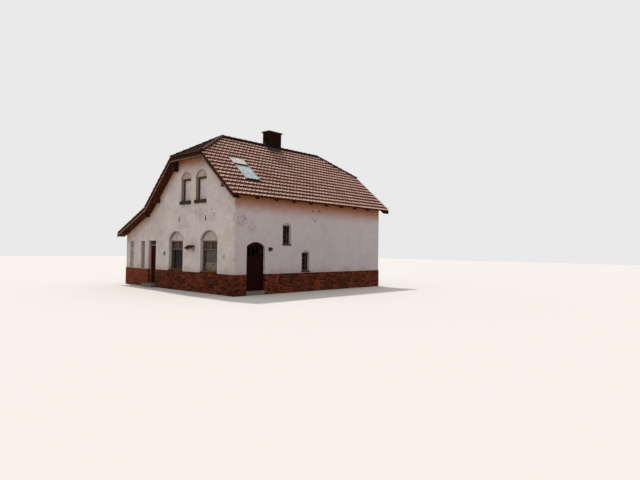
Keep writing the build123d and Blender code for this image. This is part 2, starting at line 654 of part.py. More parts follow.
def soffit(end):
    """Boards under the overhanging roof of one gable, notched for the purlins."""
    y0, y1 = (-SOFFIT_Y1, -SOFFIT_Y0) if end < 0 else (SOFFIT_Y0, SOFFIT_Y1)
    with BuildPart(mode=Mode.PRIVATE) as panels:
        right_slab(SOFFIT_D, RAFTER_D, VERGE_Y, DECK_X_R - 40)
        left_slab(SOFFIT_D, RAFTER_D, VERGE_Y, DECK_X_L + 40)
        hip_slab(end, SOFFIT_D, RAFTER_D, VERGE_Y, HALF_L - 100)
        block(WALL_L - 900, WALL_R + 900, y0, y1, 2000, RIDGE_Z, Mode.INTERSECT)
        for x, z, side in PURLINS:
            purlin(x, z, side, 0.5, VERGE_Y, Mode.SUBTRACT)
    add(panels.part)


with BuildPart() as verge_soffits:
    soffit(-1)
    soffit(1)
    level_ends()
verge_soffits.part.label = "verge_soffits"
export_step(verge_soffits.part, "parts/verge_soffits.step")

CAP_T = 38.0
CAP_W = 135.0
with BuildPart() as ridge_tiles:
    feet = [(RIDGE_X - CAP_W, left_z(RIDGE_X - CAP_W, -FIT)), ridge_pt(-FIT),
            (RIDGE_X + CAP_W, right_z(RIDGE_X + CAP_W, -FIT))]
    y_ridge = HIP_EAVE_Y - (RIDGE_Z - HIP_EAVE_Z) / TAN_H + 60
    with BuildSketch(Plane.XZ.offset(-y_ridge)) as cap:
        with BuildLine():
            Polyline(feet[0], feet[1], feet[2], (feet[2][0] + 14, feet[2][1] + 22))
            ThreePointArc((feet[2][0] + 14, feet[2][1] + 22), (RIDGE_X, RIDGE_Z + CAP_T + 24),
                          (feet[0][0] - 14, feet[0][1] + 22))
            Line((feet[0][0] - 14, feet[0][1] + 22), feet[0])
        make_face()
    extrude(to_extrude=cap.sketch, amount=2 * y_ridge)
    for end in (-1, 1):
        for side in (1, -1):
            split(bisect_by=mitre(side, end, -CAP_W), keep=Keep.BOTTOM)
    chimney_hole()
ridge_tiles.part.label = "ridge_tiles"
export_step(ridge_tiles.part, "parts/ridge_tiles.step")

def hip_wing(side, end, mode=Mode.ADD):
    """Part of a hip tile row that lies on the half hip."""
    with BuildPart(mode=Mode.PRIVATE) as wing:
        hip_slab(end, -CAP_T, -FIT, HIP_EAVE_Y + 5)
        split(bisect_by=mitre(side, end, CAP_W), keep=Keep.BOTTOM)
    add(wing.part, mode=mode)


def hip_row(side, end):
    """Hip tiles between a half hip and a main slope, from the eave to the ridge."""
    with BuildPart(mode=Mode.PRIVATE) as row:
        if side > 0:
            right_slab(-CAP_T, -FIT, VERGE_Y + 5)
        else:
            left_slab(-CAP_T, -FIT, VERGE_Y + 5)
        split(bisect_by=mitre(side, end, -CAP_W), keep=Keep.TOP)
        hip_wing(side, end)
        split(bisect_by=Plane(origin=(RIDGE_X + side * 2.0, 0, 0), z_dir=(side, 0, 0)), keep=Keep.TOP)
        low, high = sorted((end * (HIP_EAVE_Y + 20), end * 1000.0))
        block(WALL_L, WALL_R, low, high, HIP_EAVE_Z - 200, RIDGE_Z + 300, Mode.INTERSECT)
    add(row.part)


with BuildPart() as hip_tiles:
    for end in (-1, 1):
        hip_row(1, end)
        hip_row(-1, end)
hip_tiles.part.label = "hip_tiles"
export_step(hip_tiles.part, "parts/hip_tiles.step")

# Chimney: brick stack with two open flues, standing on the ground floor
FLUE = 200.0
with BuildPart() as chimney:
    block(CH_X0, CH_X1, CH_Y0, CH_Y1, FLOOR_Z + FIT, CH_TOP)
    for cy in (CH_Y0 + 250, CH_Y1 - 250):
        block((CH_X0 + CH_X1 - FLUE) / 2, (CH_X0 + CH_X1 + FLUE) / 2, cy - FLUE / 2, cy + FLUE / 2,
              FLOOR_Z + 900, CH_TOP + 1, Mode.SUBTRACT)
chimney.part.label = "chimney"
export_step(chimney.part, "parts/chimney.step")

with BuildPart() as chimney_cap:
    block(CH_X0 - CH_CAP_OUT, CH_X1 + CH_CAP_OUT, CH_Y0 - CH_CAP_OUT, CH_Y1 + CH_CAP_OUT,
          CH_TOP + FIT, CH_TOP + CH_CAP)
    for cy in (CH_Y0 + 250, CH_Y1 - 250):
        block((CH_X0 + CH_X1 - FLUE) / 2, (CH_X0 + CH_X1 + FLUE) / 2, cy - FLUE / 2, cy + FLUE / 2,
              CH_TOP - 1, CH_TOP + CH_CAP + 1, Mode.SUBTRACT)
chimney_cap.part.label = "chimney_cap"
export_step(chimney_cap.part, "parts/chimney_cap.step")

# Roof windows
SKY_FRAME = 55.0
with BuildPart() as roof_window_frames:
    for s0, s1 in SKY:
        sky_box(s0, s1, 0, -40, BOARD_D)
    for s0, s1 in SKY:
        sky_box(s0, s1, -SKY_FRAME, -60, BOARD_D + 20, Mode.SUBTRACT)
        sky_box(s0, s1, -SKY_FRAME + 20, -60, -18, Mode.SUBTRACT)
roof_window_frames.part.label = "roof_window_frames"
export_step(roof_window_frames.part, "parts/roof_window_frames.step")

# Windows of the two gables
BAR = 62.0
SASH = 60.0


def frame_low(x0, x1, y0, y1):
    """Wide window: one large pane, a transom and two small lights above it."""
    z0, z1 = WIN_LOW_Z0 + FIT, WIN_LOW_HEAD - FIT
    block(x0 + FIT, x1 - FIT, y0, y1, z0, z1)
    mid = (x0 + x1) / 2
    block(x0 + BAR, x1 - BAR, y0 - 1, y1 + 1, z0 + BAR, WIN_TRANSOM - BAR / 2, Mode.SUBTRACT)
    block(x0 + BAR, mid - BAR / 2, y0 - 1, y1 + 1, WIN_TRANSOM + BAR / 2, z1 - BAR, Mode.SUBTRACT)
    block(mid + BAR / 2, x1 - BAR, y0 - 1, y1 + 1, WIN_TRANSOM + BAR / 2, z1 - BAR, Mode.SUBTRACT)


def frame_up(x0, x1, y0, y1):
    """Gable window: two upright casements."""
    z0, z1 = WIN_UP_Z0 + FIT, WIN_UP_HEAD - FIT
    block(x0 + FIT, x1 - FIT, y0, y1, z0, z1)
    mid = (x0 + x1) / 2
    block(x0 + BAR, mid - BAR / 2, y0 - 1, y1 + 1, z0 + BAR, z1 - BAR, Mode.SUBTRACT)
    block(mid + BAR / 2, x1 - BAR, y0 - 1, y1 + 1, z0 + BAR, z1 - BAR, Mode.SUBTRACT)


def frame_boarded(x0, x1):
    """Frame in front of the boards that close a gable window."""
    z0, z1 = WIN_UP_Z0 + FIT, WIN_UP_HEAD - FIT
    y1 = -HALF_L + REVEAL_UP - FIT
    block(x0 + FIT, x1 - FIT, y1 - SASH, y1, z0, z1)
    block(x0 + BAR, x1 - BAR, y1 - SASH - 1, y1 + 1, z0 + BAR / 2, z1 - 95, Mode.SUBTRACT)


FY0 = -HALF_L + REVEAL_LOW
with BuildPart() as window_boards:
    for x0, x1 in WIN_UP:
        block(x0 + FIT, x1 - FIT, -HALF_L + REVEAL_UP, -HALF_L + REVEAL_UP + 30,
              WIN_UP_Z0 + FIT, WIN_UP_HEAD - FIT)
    for x0, x1 in SLOTS:
        block(x0 + FIT, x1 - FIT, -HALF_L + REVEAL_SLOT, -HALF_L + REVEAL_SLOT + 30,
              SLOT_Z0 + FIT, SLOT_Z1 - FIT)
window_boards.part.label = "window_boards"
export_step(window_boards.part, "parts/window_boards.step")

RY1 = HALF_L - REVEAL_LOW
# brick sills on the plinth under the wide windows; stone sills under the other windows
with BuildPart() as brick_sills:
    for end in (-1, 1):
        for x0, x1 in WIN_LOW:
            y0, y1 = (-HALF_L - 45, -IN_Y) if end < 0 else (IN_Y, HALF_L + 45)
            block(x0 + FIT, x1 - FIT, y0, y1, PLINTH_H + FIT, WIN_LOW_Z0)
brick_sills.part.label = "brick_sills"
export_step(brick_sills.part, "parts/brick_sills.step")

SILL_OUT = 90.0
SILL_H = 165.0
SMALL_SILL_OUT = 30.0
SMALL_SILL_H = 70.0
with BuildPart() as stone_sills:
    for end in (-1, 1):
        for x0, x1 in WIN_UP:
            y0, y1 = (-HALF_L - SILL_OUT, -HALF_L - FIT) if end < 0 else (HALF_L + FIT, HALF_L + SILL_OUT)
            block(x0, x1, y0, y1, WIN_UP_Z0 - SILL_H, WIN_UP_Z0)
    for y0, y1, z0, z1 in RIGHT_WINDOWS:
        block(WALL_R + FIT, WALL_R + SMALL_SILL_OUT, y0 - 20, y1 + 20, z0 - SMALL_SILL_H, z0)
    for y0, y1, z0, z1 in LEFT_WINDOWS:
        block(WALL_L - SMALL_SILL_OUT, WALL_L - FIT, y0 - 20, y1 + 20, z0 - SMALL_SILL_H, z0)
stone_sills.part.label = "stone_sills"
export_step(stone_sills.part, "parts/stone_sills.step")

# white panels that close the arches over the windows, a little in front of the frames
PANEL_T = 28.0


def arch_panel_xz(x0, x1, head, rise, end, depth):
    """Panel in the arch over a gable-wall window; its back lies against the wall."""
    y0, y1 = -HALF_L + depth - PANEL_T, -HALF_L + depth - FIT
    if end > 0:
        y0, y1 = -y1, -y0
    with BuildSketch(Plane.XZ.offset(-y1)) as outline:
        with BuildLine():
            Line((x0 + 4, head + FIT), (x1 - 4, head + FIT))
            ThreePointArc((x1 - 4, head + FIT), ((x0 + x1) / 2, head + rise - 2), (x0 + 4, head + FIT))
        make_face()
    extrude(to_extrude=outline.sketch, amount=y1 - y0)


def arch_panel_yz(y0, y1, head, top, x0, x1):
    """Panel in the arch over a side-wall window."""
    with BuildSketch(Plane.YZ.offset(x0)) as outline:
        with BuildLine():
            Line((y0 + 2, head + FIT), (y1 - 2, head + FIT))
            ThreePointArc((y1 - 2, head + FIT), ((y0 + y1) / 2, top - 1), (y0 + 2, head + FIT))
        make_face()
    extrude(to_extrude=outline.sketch, amount=x1 - x0)


with BuildPart() as arch_panels:
    for end in (-1, 1):
        for x0, x1 in WIN_LOW:
            arch_panel_xz(x0, x1, WIN_LOW_HEAD, WIN_LOW_RISE, end, ARCH_LOW)
        for x0, x1 in WIN_UP:
            arch_panel_xz(x0, x1, WIN_UP_HEAD, WIN_UP_RISE, end, ARCH_UP)
    for y0, y1, z0, z1 in RIGHT_WINDOWS:
        arch_panel_yz(y0, y1, z1 - SMALL_RISE, z1, WALL_R - SMALL_REVEAL - 40, WALL_R - SMALL_REVEAL + 10)
    for y0, y1, z0, z1 in LEFT_WINDOWS:
        arch_panel_yz(y0, y1, z1 - SMALL_RISE, z1, WALL_L + SMALL_REVEAL - 10, WALL_L + SMALL_REVEAL + 40)
arch_panels.part.label = "arch_panels"
export_step(arch_panels.part, "parts/arch_panels.step")

# Front door: frame with a fanlight, and a leaf hung on its left side, opening inwards
DF = 42.0
STOP = 12.0
DY0 = -HALF_L + DOOR_REVEAL
DY1 = DY0 + 90.0
DOOR_T = 45.0
LEAF_GAP = 6.0
HINGE_R = 8.0
HINGE_X = DOOR_X0 + DF + LEAF_GAP / 2
HINGE_Y = DY1 + HINGE_R + 0.5
HINGE_ZS = (FLOOR_Z + 230.0, FLOOR_Z + 1040.0, DOOR_TRANSOM - 330.0)
HINGE_H = 45.0
LX0, LX1 = DOOR_X0 + DF + LEAF_GAP, DOOR_X1 - DF - LEAF_GAP
LY0 = DY1 - DOOR_T
LZ0, LZ1 = FLOOR_Z + 10, DOOR_TRANSOM - LEAF_GAP


def knuckle(z0, z1, x0, x1):
    """Half of a butt hinge: a barrel on the hinge line with a plate to one side of it."""
    with Locations((HINGE_X, HINGE_Y, (z0 + z1) / 2)):
        Cylinder(HINGE_R, z1 - z0)
    block(x0, x1, DY1, DY1 + 5, z0, z1)


with BuildPart() as door_frame:
    block(DOOR_X0 + FIT, DOOR_X1 - FIT, DY0, DY1, FLOOR_Z + FIT, DOOR_HEAD - FIT)
    block(DOOR_X0 + DF, DOOR_X1 - DF, LY0 - LEAF_GAP, DY1 + 1, FLOOR_Z - 1, DOOR_TRANSOM, Mode.SUBTRACT)
    block(DOOR_X0 + DF + STOP, DOOR_X1 - DF - STOP, DY0 - 1, DY1 + 1, FLOOR_Z - 1,
          DOOR_TRANSOM - STOP, Mode.SUBTRACT)
    block(DOOR_X0 + DF, DOOR_X1 - DF, DY0 - 1, DY1 + 1, DOOR_TRANSOM + 70, DOOR_HEAD - DF, Mode.SUBTRACT)
    for z in HINGE_ZS:
        knuckle(z, z + HINGE_H, DOOR_X0 + 8, HINGE_X)
door_frame.part.label = "door_frame"
export_step(door_frame.part, "parts/door_frame.step")

with BuildPart() as door_leaf:
    block(LX0, LX1, LY0, DY1, LZ0, LZ1)
    for a, b in ((LZ0 + 140, LZ0 + 760), (LZ0 + 900, LZ1 - 130)):
        block(LX0 + 105, (LX0 + LX1) / 2 - 35, LY0 - 1, LY0 + 10, a, b, Mode.SUBTRACT)
        block((LX0 + LX1) / 2 + 35, LX1 - 105, LY0 - 1, LY0 + 10, a, b, Mode.SUBTRACT)
    for z in HINGE_ZS:
        knuckle(z + HINGE_H + FIT, z + 2 * HINGE_H, HINGE_X, HINGE_X + 35)
door_leaf.part.label = "door_leaf"
export_step(door_leaf.part, "parts/door_leaf.step")

# Side door and small windows of the side walls
SX1 = WALL_R - 110.0
SIDE_LIGHT_Z0, SIDE_LIGHT_Z1 = 1780.0, 2125.0
with BuildPart() as side_door:
    arch_yz(SIDE_Y0 + FIT, SIDE_Y1 - FIT, FLOOR_Z, SIDE_SPRING, SIDE_SPRING + SIDE_RISE - FIT,
            SX1 - 60, SX1)
    lights = 4
    bar = 28.0
    wide = (SIDE_Y1 - SIDE_Y0 - 2 * 85 - (lights - 1) * bar) / lights
    for k in range(lights):
        a = SIDE_Y0 + 85 + k * (wide + bar)
        block(SX1 - 61, SX1 + 1, a, a + wide, SIDE_LIGHT_Z0, SIDE_LIGHT_Z1, Mode.SUBTRACT)
    middle = (SIDE_Y0 + SIDE_Y1) / 2
    for y0, y1 in ((SIDE_Y0 + 85, middle - 40), (middle + 40, SIDE_Y1 - 85)):
        for z0, z1 in ((FLOOR_Z + 130, FLOOR_Z + 640), (FLOOR_Z + 740, SIDE_LIGHT_Z0 - 110)):
            block(SX1 - 12, SX1 + 1, y0, y1, z0, z1, Mode.SUBTRACT)
side_door.part.label = "side_door"
export_step(side_door.part, "parts/side_door.step")


def small_window(y0, y1, z0, z1, x0, x1):
    """Casement with small panes, three wide and four high, under an arch."""
    head = z1 - SMALL_RISE
    block(x0, x1, y0 + FIT, y1 - FIT, z0 + FIT, head - FIT)
    w = (y1 - y0 - 2 * 45 - 2 * 20) / 3
    h = (head - z0 - 2 * 45 - 3 * 20) / 4
    for i in range(3):
        for j in range(4):
            a = y0 + 45 + i * (w + 20)
            b = z0 + 45 + j * (h + 20)
            block(x0 - 1, x1 + 1, a, a + w, b, b + h, Mode.SUBTRACT)


# all window frames share a piece and so do all panes
with BuildPart() as window_frames:
    for x0, x1 in WIN_LOW:
        frame_low(x0, x1, FY0, FY0 + SASH)
        frame_low(x0, x1, RY1 - SASH, RY1)
    for x0, x1 in WIN_UP:
        frame_up(x0, x1, RY1 - SASH, RY1)
        frame_boarded(x0, x1)
    for y0, y1, z0, z1 in RIGHT_WINDOWS:
        small_window(y0, y1, z0, z1, WALL_R - SMALL_REVEAL - 45, WALL_R - SMALL_REVEAL)
    for y0, y1, z0, z1 in LEFT_WINDOWS:
        small_window(y0, y1, z0, z1, WALL_L + SMALL_REVEAL, WALL_L + SMALL_REVEAL + 45)
window_frames.part.label = "window_frames"
export_step(window_frames.part, "parts/window_frames.step")

GLASS = 6.0
with BuildPart() as window_glass:
    for x0, x1 in WIN_LOW:
        block(x0 + 30, x1 - 30, FY0 + SASH + FIT, FY0 + SASH + GLASS, WIN_LOW_Z0 + 30, WIN_LOW_HEAD - 30)
        block(x0 + 30, x1 - 30, RY1 - SASH - GLASS, RY1 - SASH - FIT, WIN_LOW_Z0 + 30, WIN_LOW_HEAD - 30)
    for x0, x1 in WIN_UP:
        block(x0 + 30, x1 - 30, RY1 - SASH - GLASS, RY1 - SASH - FIT, WIN_UP_Z0 + 30, WIN_UP_HEAD - 30)
    for y0, y1, z0, z1 in RIGHT_WINDOWS:
        xa = WALL_R - SMALL_REVEAL - 45 - GLASS
        block(xa, xa + GLASS - FIT, y0 + 20, y1 - 20, z0 + 20, z1 - SMALL_RISE - 20)
    for y0, y1, z0, z1 in LEFT_WINDOWS:
        xa = WALL_L + SMALL_REVEAL + 45 + FIT
        block(xa, xa + GLASS - FIT, y0 + 20, y1 - 20, z0 + 20, z1 - SMALL_RISE - 20)
    block(SX1 - 60 - GLASS, SX1 - 60 - FIT, SIDE_Y0 + 60, SIDE_Y1 - 60,
          SIDE_LIGHT_Z0 - 25, SIDE_LIGHT_Z1 + 25)
    block(DOOR_X0 + 20, DOOR_X1 - 20, DY1 + FIT, DY1 + GLASS, DOOR_TRANSOM + 50, DOOR_HEAD - 20)
    for s0, s1 in SKY:
        sky_box(s0, s1, -SKY_FRAME + 20 - FIT, -18 - GLASS, -18 - FIT)
window_glass.part.label = "window_glass"
export_step(window_glass.part, "parts/window_glass.step")

# pleated curtain on a rod behind the right-hand wide window
CURTAIN_Y = FY0 + SASH + 62.0
with BuildPart() as window_curtain:
    x0, x1 = WIN_LOW[1]
    top = WIN_TRANSOM - 40.0
    pleats = 22
    step = (x1 - x0 - 60) / pleats
    front = [(x0 + 30 + i * step, CURTAIN_Y + (9 if i % 2 else -9)) for i in range(pleats + 1)]
    with BuildSketch(Plane.XY.offset(WIN_LOW_Z0 + 12)) as hem:
        with BuildLine():
            Polyline(*front, *[(x, y + 3.0) for x, y in reversed(front)], close=True)
        make_face()
    extrude(to_extrude=hem.sketch, amount=top - WIN_LOW_Z0 - 12)
    with Locations(Location(((x0 + x1) / 2, CURTAIN_Y + 1.5, top), (0, 90, 0))):
        Cylinder(9, x1 - x0 - 2 * FIT)
window_curtain.part.label = "window_curtain"
export_step(window_curtain.part, "parts/window_curtain.step")

# Small things on the walls
# pent hood between the wide windows, on two brackets
HOOD_X0 = WIN_LOW[0][1] + 410.0
HOOD_X1 = HOOD_X0 + 630.0
HOOD_TOP = 2212.0
HOOD_DEEP = 210.0
HOOD_FALL = 140.0
HOOD_T = 26.0
BRACKET_W = 26.0
BRACKET_H = 300.0


def hood_bracket(x):
    """Slanted bracket; its top lies against the underside of the hood."""
    top = HOOD_TOP - HOOD_T - 1
    nose = HOOD_DEEP - 40
    prism_yz([(-HALF_L - FIT, top), (-HALF_L - nose, top - HOOD_FALL * nose / HOOD_DEEP),
              (-HALF_L - nose, top - HOOD_FALL * nose / HOOD_DEEP - 32), (-HALF_L - 45, top - BRACKET_H + 70),
              (-HALF_L - FIT, top - BRACKET_H)], x, x + BRACKET_W)


with BuildPart() as wall_hood:
    prism_yz([(-HALF_L - FIT, HOOD_TOP), (-HALF_L - HOOD_DEEP, HOOD_TOP - HOOD_FALL),
              (-HALF_L - HOOD_DEEP, HOOD_TOP - HOOD_FALL - HOOD_T), (-HALF_L - FIT, HOOD_TOP - HOOD_T)],
             HOOD_X0, HOOD_X1)
    hood_bracket(HOOD_X0 + 50)
    hood_bracket(HOOD_X1 - 50 - BRACKET_W)
wall_hood.part.label = "wall_hood"
export_step(wall_hood.part, "parts/wall_hood.step")

# wall anchors of the upper floor: an upright bar and a short cross bar
TIE_XS = (RIDGE_X - 1041.0, RIDGE_X + 1229.0)
TIE_Z = UPPER_Z0 + 200.0
TIE_H = 260.0
TIE_CROSS = 120.0
TIE_W = 28.0
TIE_T = 18.0
with BuildPart() as tie_anchors:
    for end in (-1, 1):
        y0, y1 = (-HALF_L - TIE_T, -HALF_L - FIT) if end < 0 else (HALF_L + FIT, HALF_L + TIE_T)
        for x in TIE_XS:
            block(x - TIE_W / 2, x + TIE_W / 2, y0, y1, TIE_Z - TIE_H / 2, TIE_Z + TIE_H / 2)
            block(x - TIE_CROSS / 2, x + TIE_CROSS / 2, y0, y1, TIE_Z - TIE_W / 2, TIE_Z + TIE_W / 2)
tie_anchors.part.label = "tie_anchors"
export_step(tie_anchors.part, "parts/tie_anchors.step")

METER_X = (DOOR_X1 + WIN_LOW[0][0]) / 2 + 228.0
METER_Z = 1783.0
METER_W = 72.0
METER_H = 166.0
METER_D = 48.0
with BuildPart() as meter_box:
    block(METER_X - METER_W / 2, METER_X + METER_W / 2, -HALF_L - METER_D, -HALF_L - FIT,
          METER_Z - METER_H / 2, METER_Z + METER_H / 2)
meter_box.part.label = "meter_box"
export_step(meter_box.part, "parts/meter_box.step")

# round lamp on a square back plate beside the side door
LAMP_Y = SIDE_Y1 + 300.0
LAMP_Z = 2070.0
LAMP_PLATE = 160.0
LAMP_PLATE_T = 40.0
LAMP_R = 65.0
LAMP_D = 90.0
with BuildPart() as wall_lamp:
    block(WALL_R + FIT, WALL_R + LAMP_PLATE_T, LAMP_Y - LAMP_PLATE / 2, LAMP_Y + LAMP_PLATE / 2,
          LAMP_Z - LAMP_PLATE / 2, LAMP_Z + LAMP_PLATE / 2)
    with Locations(Plane(origin=(WALL_R + LAMP_PLATE_T, LAMP_Y, LAMP_Z), z_dir=(1, 0, 0))):
        Cylinder(LAMP_R, LAMP_D, align=(Align.CENTER, Align.CENTER, Align.MIN))
wall_lamp.part.label = "wall_lamp"
export_step(wall_lamp.part, "parts/wall_lamp.step")

# half-round gutter under the catslide eave, on a strap at every rafter end
GUTTER_R = 50.0
with BuildPart() as gutter_left:
    gx, gz = EAVE_L_X + GUTTER_R - 22, cat_z(EAVE_L_X, TILE_D) - 40
    with BuildSketch(Plane.XZ.offset(-(BARGE_Y0 - 1))) as trough:
        with Locations((gx, gz)):
            Circle(GUTTER_R)
            Circle(GUTTER_R - 3.5, mode=Mode.SUBTRACT)
        with Locations((gx, gz + 60)):
            Rectangle(140, 120, mode=Mode.SUBTRACT)
    extrude(to_extrude=trough.sketch, amount=2 * (BARGE_Y0 - 1))
    for y in RAFTERS:
        block(gx + GUTTER_R - 4, EAVE_L_X + RAFTER_TAIL_L - FIT, y - 14, y + 14, gz - 26, gz - 2)
gutter_left.part.label = "gutter_left"
export_step(gutter_left.part, "parts/gutter_left.step")
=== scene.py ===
"""Looks of a small railway station building: lime-rendered brick walls on a brick plinth, painted
timber, and a roof of clay pantiles with half hips. Metres, +Z up, the platform gable looks along -Y."""
import math
import bmesh
import bpy
from mathutils import Matrix, Vector


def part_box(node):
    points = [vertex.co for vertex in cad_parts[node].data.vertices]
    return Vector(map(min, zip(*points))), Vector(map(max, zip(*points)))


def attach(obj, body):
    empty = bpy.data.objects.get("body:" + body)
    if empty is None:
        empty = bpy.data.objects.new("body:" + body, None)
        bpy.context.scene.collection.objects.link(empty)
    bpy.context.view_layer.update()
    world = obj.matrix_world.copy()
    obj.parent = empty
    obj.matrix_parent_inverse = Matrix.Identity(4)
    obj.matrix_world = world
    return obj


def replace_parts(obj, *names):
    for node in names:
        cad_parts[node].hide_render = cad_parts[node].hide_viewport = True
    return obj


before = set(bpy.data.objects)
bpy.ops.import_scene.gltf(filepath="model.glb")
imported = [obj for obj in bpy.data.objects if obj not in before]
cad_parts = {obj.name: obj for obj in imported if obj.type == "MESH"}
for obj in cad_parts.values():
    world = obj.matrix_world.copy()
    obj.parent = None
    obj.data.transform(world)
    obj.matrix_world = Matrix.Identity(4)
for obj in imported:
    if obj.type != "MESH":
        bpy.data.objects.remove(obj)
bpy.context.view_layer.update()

# Floors. The ground floor is a cement screed on the soil, swept but never polished. The upper floor
# is of planed pine boards 145 mm wide, nailed to joists. Both show only through the openings.
FLOORBOARD_W = 0.145
# Settings of a range that eases in and out, and of a mix of two colours.
SMOOTH = {"interpolation_type": "SMOOTHSTEP"}
BLEND = {"out": 2, "data_type": "RGBA"}


def linear(code):
    """sRGB hex colour as linear red, green, blue and alpha."""
    parts = [int(code[i:i + 2], 16) / 255 for i in (0, 2, 4)]
    return [c / 12.92 if c <= 0.04045 else ((c + 0.055) / 1.055) ** 2.4 for c in parts] + [1.0]


def add(tree, kind, links=None, out=0, **settings):
    """Adds a node and gives one of its outputs; a kind without the word Node is a shader node.
    Settings are its own properties. Links gives a socket its value or the output that feeds it, and
    a hex code stands for a colour."""
    new = tree.nodes.new(kind if "Node" in kind else "ShaderNode" + kind)
    for name, value in settings.items():
        setattr(new, name, value)
    for key, value in (links or {}).items():
        socket = new.inputs[key]
        if isinstance(value, bpy.types.NodeSocket):
            tree.links.new(value, socket)
        elif socket.type == "RGBA":
            socket.default_value = linear(value)
        else:
            socket.default_value = value
    return new.outputs[out] if new.outputs else new


def coat(name, roughness, gloss=0.5):
    """Starts a surface coat; gives the material, its nodes, its shader's sockets and places on the
    object in metres. Gloss is 0.5 for a clean surface and less for a dusty one."""
    material = bpy.data.materials.new(name)
    material.use_nodes = True
    tree = material.node_tree
    shader = tree.nodes["Principled BSDF"].inputs
    shader["Roughness"].default_value = roughness
    shader["Specular IOR Level"].default_value = gloss
    return material, tree, shader, add(tree, "TexCoord", out="Object")


def skin(tree, shader, colour, height=None, strength=0.3, depth=0.002, layers=()):
    """Gives a coat its colour, with other colours over it where their masks say, and the height
    pattern of its surface with its depth in metres."""
    for mask, tint in layers:
        colour = add(tree, "Mix", {0: mask, 6: colour, 7: tint}, **BLEND)
    tree.links.new(colour, shader["Base Color"])
    if height is not None:
        bump = add(tree, "Bump", {"Height": height, "Strength": strength, "Distance": depth})
        tree.links.new(bump, shader["Normal"])


def clouded(name, roughness, gloss, scale, detail, first, second, spread=None, **noise):
    """Starts a coat of two tones in clouds, about scale of them to the metre; also gives its colour
    and the clouds. Spread is the part of the noise where one tone gives way to the other."""
    material, tree, shader, place = coat(name, roughness, gloss)
    cloud = add(tree, "TexNoise", {"Vector": place, "Scale": scale, "Detail": detail, **noise})
    if spread:
        cloud = add(tree, "MapRange", {0: cloud, 1: spread[0], 2: spread[1]}, **SMOOTH)
    colour = add(tree, "Mix", {0: cloud, 6: first, 7: second}, **BLEND)
    skin(tree, shader, colour)
    return material, tree, shader, place, colour, cloud


def dress(material, *nodes):
    """Gives solids of the building their coat."""
    for name in nodes:
        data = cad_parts[name].data
        data.materials.clear()
        data.materials.append(material)


# Screed: trowelled, with clouds about 300 mm wide and a sandy grain of 4 mm.
screed, tree, shader, place, colour = clouded(
    "cement_screed", 0.9, 0.2, 3.3, 5.0, "5f5850", "433c36")[:5]
sand = add(tree, "TexNoise", {"Vector": place, "Scale": 250.0, "Detail": 2.0})
skin(tree, shader, colour, sand, 0.2)
dress(screed, "floor_ground")

# Pine: yellow-brown boards with grain along their length and dark open seams.
pine, tree, shader, place = coat("planed_pine_floor", 0.6, 0.4)
drawn = add(tree, "Mapping", {"Vector": place, "Scale": (90.0, 3.0, 90.0)})
grain = add(tree, "TexNoise", {"Vector": drawn, "Scale": 1.0, "Detail": 4.0})
across = add(tree, "SeparateXYZ", {"Vector": place}, "X")
seam = add(tree, "Math", {0: across, 1: FLOORBOARD_W}, operation="PINGPONG")
gap = add(tree, "MapRange", {0: seam, 1: 0.0, 2: 0.004, 3: 1.0, 4: 0.0})
skin(tree, shader, "7d5e3e", layers=((grain, "553c25"), (gap, "1c130c")))
dress(pine, "floor_upper")

# Plinth. Hard-fired red-brown bricks, 228 x 54 x 108 mm, laid in lime mortar: fourteen courses of
# stretchers and headers in turn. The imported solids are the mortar, and the bricks stand 5 mm proud.
COURSES = 14
PLINTH_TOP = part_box("plinth_front")[1].z
COURSE = PLINTH_TOP / COURSES
JOINT = 0.012
BRICK_CELL = 0.24
BRICK_D = 0.108
PROUD = 0.005
ARRIS = 0.004


